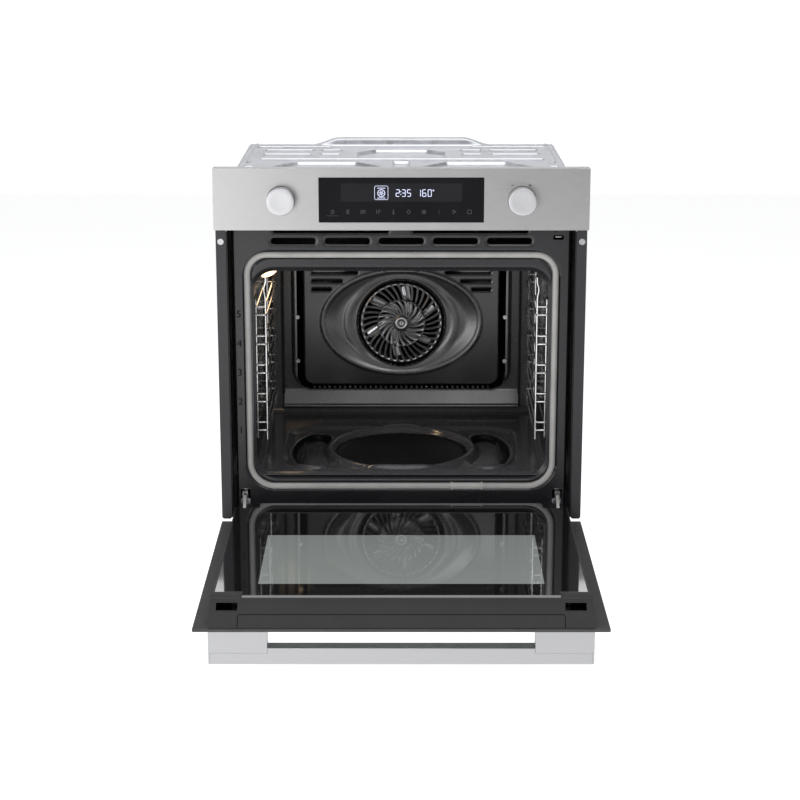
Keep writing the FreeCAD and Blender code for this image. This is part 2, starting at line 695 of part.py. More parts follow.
def blower_wheel():
    """Long drum of narrow blades that moves the cooling air."""
    half = 98.0
    radius = 30.0
    shaft = rod(SHAFT, (-110, BLOWER_DEPTH, BLOWER_Z), (132, BLOWER_DEPTH, BLOWER_Z))
    parts = [shaft]
    for x in (-half, -1.0, half - 2.0):
        parts.append(rod(radius, (x, BLOWER_DEPTH, BLOWER_Z), (x + 2.0, BLOWER_DEPTH, BLOWER_Z)))
    blades = 18
    for k in range(blades):
        blade = block((-half, half), (BLOWER_DEPTH - 0.6, BLOWER_DEPTH + 0.6),
                      (BLOWER_Z + 21, BLOWER_Z + 29.5))
        blade.rotate(V(0, at(BLOWER_DEPTH), BLOWER_Z + 25), X_AXIS, 30)
        blade.rotate(V(0, at(BLOWER_DEPTH), BLOWER_Z), X_AXIS, 360.0 * k / blades)
        parts.append(blade)
    return fuse(parts)


def air_duct():
    """Tray that leads the cooling air to the front slots."""
    floor = block((-214, 214), (64, 380), (458, 459.2))
    side = block((212.8, 214), (64, 380), (458, 535))
    return fuse([floor, side, mirrored(side)])


# ---------------------------------------------------------------- controls

def control_panel():
    """Folded steel front with openings for the display and the two knobs."""
    back = 22.0
    rect = rectangle((-FRONT_HALF, FRONT_HALF), (PANEL_BOTTOM, FRONT_TOP))
    t = PANEL_SHEET
    inner = rectangle((-FRONT_HALF + t, FRONT_HALF - t), (PANEL_BOTTOM + t, FRONT_TOP - t))
    shell = slab(rect, 1.6, "y", 0, back).cut(slab(inner, 0, "y", t, back + 1))
    gap = 0.4
    window = rectangle((-GLASS_HALF - gap, GLASS_HALF + gap), (GLASS_BOTTOM - gap, GLASS_TOP + gap))
    holes = [slab(window, 1.4, "y", -3, 5)]
    for x in (-KNOB_X, KNOB_X):
        holes.append(rod(KNOB_HOLE, (x, -3, KNOB_Z), (x, 5, KNOB_Z)))
    return cut(shell, holes)


def display_glass():
    rect = rectangle((-GLASS_HALF, GLASS_HALF), (GLASS_BOTTOM, GLASS_TOP))
    return slab(rect, 1.0, "y", 0.2, 4.2)


CUP_OUT = 25.5
CUP_FLOOR = 27.0


def panel_carrier():
    """Black moulding behind the panel: a backplate with a well for each knob."""
    t = 2.0
    x = 276.0
    bottom = 500.0
    top = 586.0
    back = 60.0
    box_out = block((-x, x), (40, back), (bottom, top))
    box_in = block((-x + t, x - t), (40 + t, back + 1), (bottom + t, top - t))
    carrier = box_out.cut(box_in)
    solids = [carrier]
    holes = []
    for side in (-KNOB_X, KNOB_X):
        solids.append(rod(CUP_OUT, (side, PANEL_SHEET, KNOB_Z), (side, 41, KNOB_Z)))
        holes.append(rod(KNOB_HOLE + 0.2, (side, 0, KNOB_Z), (side, CUP_FLOOR, KNOB_Z)))
        holes.append(block((side - 10, side + 10), (CUP_FLOOR + 2, 60), (KNOB_Z - 10, KNOB_Z + 10)))
        holes.append(rod(5.0, (side, CUP_FLOOR - 1, KNOB_Z), (side, CUP_FLOOR + 3, KNOB_Z)))
    frame = block((-128, 128), (4.2, 10), (510.5, 578))
    frame = frame.cut(block((-124, 124), (3, 11), (514.5, 574)))
    posts = []
    for px in (-126.0, 126.0):
        posts.append(block((px - 2, px + 2), (10, 41), (530, 560)))
    return cut(fuse(solids + [frame] + posts), holes)


def display_board():
    board = block((-121, 121), (12, 13.6), (516, 573))
    chip = block((-30, 20), (13.6, 18), (535, 560))
    lit = block((-96, 96), (8.5, 12), (541, 571))
    return fuse([board, chip, lit])


def encoders():
    """Rotary switches behind the knobs, each with a bushing for the spindle."""
    body = block((KNOB_X - 10, KNOB_X + 10), (CUP_FLOOR + 2, 43), (KNOB_Z - 10, KNOB_Z + 10))
    bush = rod(4.8, (KNOB_X, CUP_FLOOR - 0.5, KNOB_Z), (KNOB_X, CUP_FLOOR + 2, KNOB_Z))
    bore = rod(SHAFT_BORE, (KNOB_X, CUP_FLOOR - 3, KNOB_Z), (KNOB_X, 50, KNOB_Z))
    return both(fuse([body, bush]).cut(bore))


def spindle(x):
    """Flatted shaft of a rotary switch with its retaining collar."""
    tip = 1.8
    shaft = rod(SHAFT, (x, tip, KNOB_Z), (x, 46, KNOB_Z))
    flat = block((x - 5, x + 5), (tip - 1, FLAT_END), (KNOB_Z + 2.2, KNOB_Z + 5))
    collar = rod(5.5, (x, 43.6, KNOB_Z), (x, 46, KNOB_Z))
    return fuse([shaft.cut(flat), collar])


def knob(x):
    """Round metal knob cap with a hollow back and a D-shaped bore."""
    face = -KNOB_PROUD
    skirt_end = 3.0
    boss_end = 7.0
    cap = rod(KNOB_RADIUS, (x, face, KNOB_Z), (x, skirt_end, KNOB_Z))
    front_edges = [e for e in cap.Edges if abs(e.BoundBox.YMax - at(face)) < 0.01]
    cap = cap.makeFillet(1.0, front_edges)
    hollow = rod(KNOB_RADIUS - 2.2, (x, face + 3.0, KNOB_Z), (x, skirt_end + 1, KNOB_Z))
    boss = rod(6.5, (x, face + 2.0, KNOB_Z), (x, boss_end, KNOB_Z))
    bore = rod(SHAFT_BORE, (x, face + 3.0, KNOB_Z), (x, boss_end + 1, KNOB_Z))
    flat = block((x - 5, x + 5), (face + 2, boss_end + 2), (KNOB_Z + 2.25, KNOB_Z + 5))
    return fuse([cap.cut(hollow), boss]).cut(bore.cut(flat))


# ---------------------------------------------------------------- door lock

LOCK_X = 252.7
LOCK_SLOPE = 25.7


def lock_bolt():
    """Slanting bolt that comes out of the front frame into the door's trim."""
    half_width = 5.0
    thick = 2.4
    length = 40.0
    tip_depth = 51.0
    tip_z = 476.4
    bar = block((LOCK_X - half_width, LOCK_X + half_width), (tip_depth, tip_depth + length),
                (tip_z - thick / 2, tip_z + thick / 2))
    bar.rotate(V(0, at(tip_depth), tip_z), X_AXIS, LOCK_SLOPE)
    return bar


# ---------------------------------------------------------------- hinges

def hinge_arms():
    """Fixed hinge arms with their pivot pins, reaching out through the front frame."""
    half = 2.5
    x = (HINGE_X - half, HINGE_X + half)
    bar = block(x, (48, 116), (30, 46))
    neck = slab([(48, 46), (45, 46), (40.5, 44.6), (37.4, 41.4), (9.4, 20.5), (20.5, 9.4), (36, 30),
                 (48, 30)], 0, "x", x[0], x[1])
    eye = Part.makeCylinder(8.0, 2 * half, V(x[0], at(PIVOT_DEPTH), PIVOT_Z), X_AXIS)
    pin = rod(SHAFT, (HINGE_X - 6.2, PIVOT_DEPTH, PIVOT_Z), (HINGE_X + 6.2, PIVOT_DEPTH, PIVOT_Z))
    catch_pin = rod(1.5, (HINGE_X - 4.8, CATCH_DEPTH, CATCH_Z), (HINGE_X + 4.8, CATCH_DEPTH, CATCH_Z))
    return both(fuse([bar, neck, eye, pin, catch_pin]))


def hinge_receivers():
    """Sheet boxes behind the front frame that grip the hinge arms."""
    t = 1.5
    start = FRAME_DEPTH + SHEET
    outer = block((HINGE_X - 11, HINGE_X + 11), (start, 128), (24, 56))
    inner = block((HINGE_X - 11 + t, HINGE_X + 11 - t), (start - 1, 128 - t), (24 + t, 56 - t))
    shell = outer.cut(inner)
    grip_low = block((HINGE_X - 11 + t, HINGE_X + 11 - t), (70, 110), (24 + t, 30))
    grip_high = block((HINGE_X - 11 + t, HINGE_X + 11 - t), (70, 110), (46, 56 - t))
    return both(fuse([shell, grip_low, grip_high]))


CATCH_DEPTH = 45.0
CATCH_Z = 37.0


def hinge_catch():
    """Right-hand catch that flips forward to lock the hinge for taking the door off."""
    inner = 2.9
    outer = 4.1
    top = 51.5
    solids = []
    for side in (-1, 1):
        low, high = sorted((HINGE_X + side * inner, HINGE_X + side * outer))
        cheek = slab([(CATCH_DEPTH - 1.6, top), (CATCH_DEPTH - 2.6, CATCH_Z - 2.4),
                      (CATCH_DEPTH + 2.6, CATCH_Z - 2.4), (CATCH_DEPTH + 1.6, top)], 0.8,
                     "x", low, high)
        solids.append(cheek)
    bridge = block((HINGE_X - outer, HINGE_X + outer), (CATCH_DEPTH - 1.4, CATCH_DEPTH + 1.4),
                   (46.6, top - 0.8))
    shape = fuse(solids + [bridge])
    hole = rod(1.56, (HINGE_X - 6, CATCH_DEPTH, CATCH_Z), (HINGE_X + 6, CATCH_DEPTH, CATCH_Z))
    return shape.cut(hole)


def hinge_channels():
    """Door half of each hinge: a channel screwed inside the door, pivoted at its nose."""
    inner = 3.3
    outer = 4.8
    far = -330.0
    high = 28.0
    low = 5.0
    solids = []
    nose = 9.0
    for side in (-1, 1):
        x0, x1 = sorted((HINGE_X + side * inner, HINGE_X + side * outer))
        profile = [(far, low), (PIVOT_DEPTH + nose, low + 2), (PIVOT_DEPTH + nose, PIVOT_Z + nose),
                   (-14, high), (far, high)]
        wall = slab(profile, [0, 8.0, 8.0, 0, 0], "x", x0, x1)
        solids.append(wall)
    web = block((HINGE_X - outer, HINGE_X + outer), (far, -14), (low, low + 1.5))
    stop = block((HINGE_X - outer, HINGE_X + outer), (far, far + 3), (low, high))
    shape = fuse(solids + [web, stop])
    hole = rod(SHAFT_BORE, (HINGE_X - 10, PIVOT_DEPTH, PIVOT_Z), (HINGE_X + 10, PIVOT_DEPTH, PIVOT_Z))
    return both(shape.cut(hole))


# ---------------------------------------------------------------- door

SCREW_X = (210.0, 250.0)
HANDLE_DEPTH = -424.0


def door_outer_glass():
    rect = [(-FRONT_HALF, DOOR_FRONT), (FRONT_HALF, DOOR_FRONT), (FRONT_HALF, DOOR_REAR),
            (-FRONT_HALF, DOOR_REAR)]
    pane = slab(rect, 1.5, "z", 0, PANE)
    holes = []
    for x in SCREW_X:
        for side in (-1, 1):
            holes.append(rod(3.5, (side * x, HANDLE_DEPTH, -2), (side * x, HANDLE_DEPTH, PANE + 2)))
    return cut(pane, holes)


def door_middle_glass():
    rect = [(-240, -425), (240, -425), (240, -30), (-240, -30)]
    return slab(rect, 2.0, "z", 21, 24)


GLASS_EDGE = 268.0


def door_inner_glass():
    """Inner pane, cut back at its corners for the hinges and the trim's ends."""
    near_wide = -416.0
    near_mid = -430.0
    far_wide = -25.0
    far_mid = 0.0
    x_near = 228.0
    x_far = 231.0
    points = [(-GLASS_EDGE, near_wide), (-x_near, near_wide), (-x_near, near_mid), (x_near, near_mid),
              (x_near, near_wide), (GLASS_EDGE, near_wide), (GLASS_EDGE, far_wide), (x_far, far_wide),
              (x_far, far_mid), (-x_far, far_mid), (-x_far, far_wide), (-GLASS_EDGE, far_wide)]
    return slab(points, 0, "z", DOOR_THICK - PANE, DOOR_THICK)


def door_profile():
    """Right-hand side profile between the panes."""
    start = -25.0
    end = -416.0
    wall = block((GLASS_EDGE + 0.3, DOOR_HALF), (end, start), (PANE, DOOR_THICK))
    ledge = block((242, GLASS_EDGE + 0.3), (end, start), (38.4, DOOR_THICK - PANE))
    shelf = block((242, 243.4), (end, start), (24.0, 38.4))
    foot = block((242, 243.4), (end, start), (PANE, 21.0))
    base = block((243.4, 262.0), (end, start), (PANE, PANE + 1.0))
    middle = block((234, 243.4), (end, start), (24.0, 25.2))
    lower = block((234, 243.4), (end, start), (19.8, 21.0))
    shape = fuse([wall, ledge, shelf, middle])
    return Part.makeCompound([shape, fuse([foot, base, lower])])


def door_top_trim():
    """Moulding along the door's free end, with two slots, hollow behind its sloping face."""
    wall = 2.4
    rear = -416.0
    outer = slab([(-458.5, PANE), (-458.5, 6.0), (-430.0, 38.0), (-430.0, 40.0), (rear, 40.0), (rear, PANE)],
                 [0, 0, 0, 0, 0, 0], "x", -TRIM_HALF, TRIM_HALF)
    hollow = slab([(-454.0, PANE - 1), (-454.0, 7.0), (-427.0, 37.6), (rear + 1, 37.6), (rear + 1, PANE - 1)],
                  0, "x", -TRIM_HALF + wall, TRIM_HALF - wall)
    shell = outer.cut(hollow)
    ears = []
    for side in (-1, 1):
        low, high = sorted((side * 228.3, side * TRIM_HALF))
        ears.append(slab([(-430.0, 38.0), (-430.0, 40.5), (-426.5, 44.0), (rear, 44.0), (rear, 38.0)],
                         [0, 2.0, 2.0, 0, 0], "x", low, high))
    shell = fuse([shell] + ears)
    slots = []
    for side in (-1, 1):
        low, high = sorted((side * 233.7, side * 264.3))
        slots.append(block((low, high), (-470, -425), (24.5, 34.0)))
    inset_face = slab([(-459.5, 3.0), (-459.5, 6.3), (-446.5, 20.9), (-445.8, 20.3), (-458.1, 5.7),
                       (-458.1, 3.0)], 0, "x", -233, 233)
    return cut(shell, slots + [inset_face])


def door_bottom_rail():
    """Channel between the panes along the hinge edge, with its air slots."""
    x = 226.0
    t = 1.2
    outer = block((-x, x), (-24, -6), (PANE, 39.8))
    inner = block((-x + t, x - t), (-24 + t, -5), (PANE + t, 39.8 - t))
    rail = outer.cut(inner)
    slots = []
    for k in range(-4, 5):
        centre = k * 48.0
        slots.append(block((centre - 17, centre + 17), (-26, -20), (10, 16)))
        slots.append(block((centre - 17, centre + 17), (-26, -20), (27, 33)))
    return cut(rail, slots)


def glass_pads():
    """Rubber blocks that keep the panes apart."""
    pads = []
    for x in (-200.0, 200.0):
        for depth in (-60.0, -400.0):
            pads.append(block((x - 6, x + 6), (depth - 10, depth + 10), (PANE, 21.0)))
            pads.append(block((x - 6, x + 6), (depth - 10, depth + 10), (24.0, 40.0)))
    return Part.makeCompound(pads)


BAR_X = 275.0
BAR_FRONT = -435.0
BAR_REAR = -413.0
BAR_LOW = -60.0
BAR_HIGH = -34.5
SEAM = -42.5
BRACKET_X = (192.5, 277.5)


def handle_bar():
    """Satin bar, stepped down at its ends where the brackets sit on it."""
    section = [(BAR_FRONT, BAR_LOW), (BAR_REAR, BAR_LOW), (BAR_REAR, BAR_HIGH), (BAR_FRONT, BAR_HIGH)]
    middle = slab(section, [1.0, 1.0, 1.5, 1.5], "x", -BRACKET_X[0] + 0.2, BRACKET_X[0] - 0.2)
    low = [(BAR_FRONT, BAR_LOW), (BAR_REAR, BAR_LOW), (BAR_REAR, SEAM), (BAR_FRONT, SEAM)]
    whole = slab(low, [1.0, 1.0, 0, 0], "x", -BAR_X, BAR_X)
    return fuse([middle, whole])


def handle_brackets():
    """Blocks that carry the bar under the front glass."""
    shape = block(BRACKET_X, (BAR_FRONT, BAR_REAR), (SEAM, 0))
    bores = []
    for x in SCREW_X:
        bores.append(rod(2.4, (x, HANDLE_DEPTH, -16), (x, HANDLE_DEPTH, 1)))
    return both(cut(shape, bores))


def handle_end_caps():
    section = [(BAR_FRONT, BAR_LOW), (BAR_REAR, BAR_LOW), (BAR_REAR, SEAM), (BAR_FRONT, SEAM)]
    return both(slab(section, [2.0, 2.0, 0, 0], "x", BAR_X, BRACKET_X[1]))


def handle_screws():
    """Screws through the front glass into the brackets."""
    screws = []
    for x in SCREW_X:
        head = rod(5.5, (x, HANDLE_DEPTH, PANE), (x, HANDLE_DEPTH, PANE + 3.2))
        shank = rod(2.4, (x, HANDLE_DEPTH, -14), (x, HANDLE_DEPTH, PANE))
        screw = fuse([head, shank])
        screws += [screw, mirrored(screw)]
    return Part.makeCompound(screws)


def casing_screws():
    """Sheet-metal screws along the casing's sides and back."""
    screws = []
    side = []
    for depth in (110.0, 281.0, 500.0):
        for z in (CASE_TOP - 9.0, 20.0):
            side.append(rod(4.0, (CASE_HALF, depth, z), (CASE_HALF + 2.0, depth, z)))
    for z in (180.0, 370.0):
        side.append(rod(4.0, (CASE_HALF, 536.0, z), (CASE_HALF + 2.0, 536.0, z)))
    for shape in side:
        screws += [shape, mirrored(shape)]
    for x in (-265.0, -130.0, 0.0, 130.0, 265.0):
        screws.append(rod(4.0, (x, BODY_DEPTH, 16.0), (x, BODY_DEPTH + 2.0, 16.0)))
    for x in (-265.0, 265.0):
        for z in (200.0, 380.0, 546.0):
            screws.append(rod(4.0, (x, BODY_DEPTH, z), (x, BODY_DEPTH + 2.0, z)))
    return Part.makeCompound(screws)


def main():
    os.makedirs(OUT, exist_ok=True)
    export("base_pan", base_pan())
    export("right_side_panel", side_panel())
    export("left_side_panel", mirrored(side_panel()))
    export("top_cover", top_cover())
    export("rear_panel", rear_panel())
    export("terminal_cover", terminal_cover())
    export("right_side_trim", side_trim())
    export("left_side_trim", mirrored(side_trim()))
    export("fixing_caps", fixing_caps())
    export("casing_screws", casing_screws())
    export("front_frame", front_frame())
    export("door_seal", door_seal())
    export("cavity_wrapper", cavity_wrapper())
    export("cavity_floor", cavity_floor())
    export("cavity_rear_wall", cavity_rear_wall())
    export("fan_cover", fan_cover())
    export("fan_cover_screws", fan_cover_screws())
    export("ring_element", ring_element())
    export("grill_element", grill_element())
    export("bottom_element", bottom_element())
    export("lamp_housing", lamp_housing())
    export("lamp_bulb", lamp_bulb())
    export("lamp_glass", lamp_glass())
    export("right_side_rack", side_rack())
    export("left_side_rack", mirrored(side_rack()))
    export("rack_studs", rack_studs())
    export("temperature_probe", temperature_probe())
    export("insulation", insulation())
    export("convection_fan", convection_fan())
    export("convection_motor", convection_motor())
    export("blower_housing", blower_housing())
    export("blower_wheel", blower_wheel())
    export("air_duct", air_duct())
    export("control_panel", control_panel())
    export("display_glass", display_glass())
    export("panel_carrier", panel_carrier())
    export("display_board", display_board())
    export("encoders", encoders())
    export("left_spindle", spindle(-KNOB_X))
    export("right_spindle", spindle(KNOB_X))
    export("left_knob", knob(-KNOB_X))
    export("right_knob", knob(KNOB_X))
    export("lock_bolt", lock_bolt())
    export("hinge_arms", hinge_arms())
    export("hinge_receivers", hinge_receivers())
    export("right_hinge_catch", hinge_catch())
    export("left_hinge_catch", mirrored(hinge_catch()))
    export("hinge_channels", hinge_channels())
    export("door_outer_glass", door_outer_glass())
    export("door_middle_glass", door_middle_glass())
    export("door_inner_glass", door_inner_glass())
    export("right_door_profile", door_profile())
    export("left_door_profile", mirrored(door_profile()))
    export("door_top_trim", door_top_trim())
    export("door_bottom_rail", door_bottom_rail())
    export("glass_pads", glass_pads())
    export("handle_bar", handle_bar())
    export("handle_brackets", handle_brackets())
    export("handle_end_caps", handle_end_caps())
    export("handle_screws", handle_screws())


main()
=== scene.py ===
import math

import bmesh
import bpy
import numpy as np
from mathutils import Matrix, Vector

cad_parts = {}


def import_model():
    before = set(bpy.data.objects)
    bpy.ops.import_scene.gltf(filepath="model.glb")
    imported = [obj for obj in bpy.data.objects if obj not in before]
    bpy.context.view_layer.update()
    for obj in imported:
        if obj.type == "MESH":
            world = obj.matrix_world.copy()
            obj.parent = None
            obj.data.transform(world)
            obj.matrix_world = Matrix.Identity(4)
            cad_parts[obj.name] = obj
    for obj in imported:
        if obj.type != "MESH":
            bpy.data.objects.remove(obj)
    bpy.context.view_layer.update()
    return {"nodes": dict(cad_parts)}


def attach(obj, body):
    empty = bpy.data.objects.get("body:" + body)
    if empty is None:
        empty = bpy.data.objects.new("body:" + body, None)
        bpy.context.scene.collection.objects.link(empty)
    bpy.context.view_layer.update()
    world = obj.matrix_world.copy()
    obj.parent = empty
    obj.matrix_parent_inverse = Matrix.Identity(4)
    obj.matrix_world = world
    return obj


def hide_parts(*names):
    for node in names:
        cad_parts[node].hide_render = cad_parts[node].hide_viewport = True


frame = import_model()
NODES = frame["nodes"]

# Lengths below are in millimetres: X to the right, depth behind the control
# panel's front plane, Z up from the base. metres() turns them into the frame.
PANEL_Y = -299.0


def metres(x, depth, z):
    return (x / 1000.0, (PANEL_Y + depth) / 1000.0, z / 1000.0)


def assign(target, **values):
    for key, value in values.items():
        setattr(target, key, value)
    return target


# --- materials

class Look:
    """A Principled material with short calls for its procedural detail."""

    def __init__(self, name, color, rough, metal=0.0):
        self.mat = bpy.data.materials.new(name)
        self.mat.use_nodes = True
        tree = self.mat.node_tree
        self.nodes, self.links = tree.nodes, tree.links
        self.bsdf = self.nodes["Principled BSDF"]
        self.out = self.nodes["Material Output"]
        self.set("Base Color", (*color, 1.0))
        self.set("Roughness", rough)
        self.set("Metallic", metal)
        self.coords = self.node("ShaderNodeTexCoord").outputs["Object"]
        self.height = None

    def node(self, kind, inputs=(), **values):
        """A node with its inputs set, or linked where an output is given."""
        made = assign(self.nodes.new(kind), **values)
        for socket, value in dict(inputs).items():
            if isinstance(value, bpy.types.NodeSocket):
                self.links.new(value, made.inputs[socket])
            else:
                made.inputs[socket].default_value = value
        return made

    def set(self, socket, value):
        self.bsdf.inputs[socket].default_value = value

    def feed(self, socket, source):
        self.links.new(source, self.bsdf.inputs[socket])

    def spot(self):
        """The object's own coordinates as outputs X, Y and Z."""
        return self.node("ShaderNodeSeparateXYZ", {"Vector": self.coords}).outputs

    def math(self, operation, *sources):
        return self.node("ShaderNodeMath", enumerate(sources), operation=operation).outputs["Value"]

    def noise(self, scale, stretch=(1, 1, 1), detail=4.0, rough=0.55):
        mapping = self.node("ShaderNodeMapping", {"Vector": self.coords, "Scale": stretch})
        made = self.node("ShaderNodeTexNoise", {"Vector": mapping.outputs["Vector"], "Scale": scale,
                                                "Detail": detail, "Roughness": rough})
        return made.outputs["Fac"]

    def remap(self, source, low, high, to_low, to_high):
        made = self.node("ShaderNodeMapRange", {"Value": source, "From Min": low, "From Max": high,
                                                "To Min": to_low, "To Max": to_high})
        return made.outputs["Result"]

    def tint(self, source, stops):
        made = self.node("ShaderNodeValToRGB", {"Fac": source})
        ramp = made.color_ramp
        while len(ramp.elements) < len(stops):
            ramp.elements.new(0.5)
        for element, (spot, color) in zip(ramp.elements, stops):
            element.position = spot
            element.color = (*color, 1.0)
        self.feed("Base Color", made.outputs["Color"])

    def vary_rough(self, source, low, high):
        self.feed("Roughness", self.remap(source, 0.3, 0.7, low, high))

    def bump(self, source, strength, distance=0.001):
        inputs = {"Height": source, "Strength": strength, "Distance": distance}
        if self.height is not None:
            inputs["Normal"] = self.height
        self.height = self.node("ShaderNodeBump", inputs).outputs["Normal"]
        self.feed("Normal", self.height)


def shade(color, factor):
    return tuple(min(1.0, c * factor) for c in color)


def spread(color, amount, low=0.35, high=0.65):
    """Two stops either side of a colour."""
    return [(low, shade(color, 1 - amount)), (high, shade(color, 1 + amount))]


def brushed(name, color, rough, stretch, depth):
    look = Look(name, color, rough, 1.0)
    grain = look.noise(900.0, stretch, 6.0, 0.7)
    look.tint(grain, spread(color, 0.05, 0.3, 0.7))
    look.vary_rough(grain, rough - 0.05, rough + 0.07)
    look.bump(grain, depth, 0.0002)
    look.bump(look.noise(9.0, detail=3.0), 0.02)
    look.set("Anisotropic", 0.45)
    return look


def enamel(name, color, rough, speck, ior=1.5):
    look = Look(name, color, rough)
    look.set("IOR", ior)
    look.tint(look.noise(420.0, detail=3.0),
              [(0.35, shade(color, 1 - speck)), (0.6, color), (0.72, shade(color, 1 + 2 * speck))])
    look.vary_rough(look.noise(7.0), rough - 0.03, rough + 0.07)
    look.bump(look.noise(160.0, detail=2.0), 0.04, 0.0004)
    return look


def plastic(name, color, rough, grain=0.25):
    look = Look(name, color, rough)
    fine = look.noise(1300.0, detail=2.0)
    look.tint(look.noise(24.0), spread(color, 0.08))
    look.vary_rough(fine, rough - 0.06, rough + 0.08)
    look.bump(fine, grain, 0.0003)
    return look


def zinc(name):
    """Galvanised sheet: spangled grey metal."""
    color, rough = (0.56, 0.57, 0.60), 0.36
    look = Look(name, color, rough, 1.0)
    spangle = look.node("ShaderNodeTexVoronoi", {"Vector": look.coords, "Scale": 95.0})
    grey = look.node("ShaderNodeSeparateColor", {"Color": spangle.outputs["Color"]})
    cloud = look.math("ADD", look.noise(40.0), look.remap(grey.outputs["Red"], 0, 1, -0.14, 0.14))
    look.tint(cloud, [(0.3, shade(color, 0.90)), (0.7, shade(color, 1.08))])
    look.vary_rough(cloud, rough - 0.06, rough + 0.08)
    look.bump(look.noise(300.0), 0.05, 0.0002)
    return look


def window_mask(look, half_x, depth_near, depth_far):
    """1 inside the clear window of a pane, 0 on its printed border."""
    spot = look.spot()
    wide, near, far = half_x / 1000.0, (PANEL_Y + depth_near) / 1000.0, (PANEL_Y + depth_far) / 1000.0
    soft = 0.0006
    across = look.remap(look.math("ABSOLUTE", spot["X"]), wide - soft, wide, 1.0, 0.0)
    start = look.remap(spot["Y"], near, near + soft, 0.0, 1.0)
    end = look.remap(spot["Y"], far - soft, far, 1.0, 0.0)
    return look.math("MULTIPLY", look.math("MULTIPLY", across, start), end)


def door_pane(name, border, tint, mirror, window, painted_light_share=0.0, border_ior=2.5, border_rough=0.045):
    """Printed glass: opaque glossy border, clear mirror-coated window, with a share of pale diffuse colour in
    the window as painted light for the bright floor seen through it.
    """
    look = Look(name, border, border_rough)
    look.tint(look.noise(60.0), spread(border, 0.06))
    look.vary_rough(look.noise(5.0), border_rough - 0.015, border_rough + 0.015)
    look.set("IOR", border_ior)

    def mixed(share, first, second):
        return look.node("ShaderNodeMixShader", {"Fac": share, 1: first, 2: second}).outputs["Shader"]

    clear = look.node("ShaderNodeBsdfTransparent", {"Color": (*tint, 1.0)})
    # Pale diffuse colour in the window: painted light for the bright floor seen through the door.
    painted_see_through = look.node("ShaderNodeBsdfDiffuse", {"Color": (0.54, 0.585, 0.56, 1.0)})
    gloss = look.node("ShaderNodeBsdfGlossy", {"Color": (0.93, 0.96, 0.95, 1.0), "Roughness": 0.02})
    fresnel = look.node("ShaderNodeFresnel", {"IOR": mirror})
    see_through_mix = mixed(painted_light_share, clear.outputs["BSDF"], painted_see_through.outputs["BSDF"])
    pane = mixed(fresnel.outputs["Fac"], see_through_mix, gloss.outputs["BSDF"])
    choice = mixed(window_mask(look, *window), look.bsdf.outputs["BSDF"], pane)
    look.links.new(choice, look.out.inputs["Surface"])
    return look


def glowing(name, color, strength):
    look = Look(name, color, 0.35)
    look.tint(look.noise(300.0), spread(color, 0.06))
    look.set("Emission Color", (*color, 1.0))
    look.set("Emission Strength", strength)
    return look


def shaded_front(look, edge, shade_color):
    """Turns a zinc sheet dark and dull ahead of a depth, as painted shade on its front strip."""
    line = (PANEL_Y + edge) / 1000.0
    bare = look.remap(look.spot()["Y"], line - 0.0005, line, 0.0, 1.0)
    color = look.bsdf.inputs["Base Color"].links[0].from_socket
    mixed = look.node("ShaderNodeMix", {0: bare, 6: (*shade_color, 1.0), 7: color}, data_type="RGBA")
    look.feed("Base Color", mixed.outputs[2])
    look.feed("Metallic", bare)
    return look


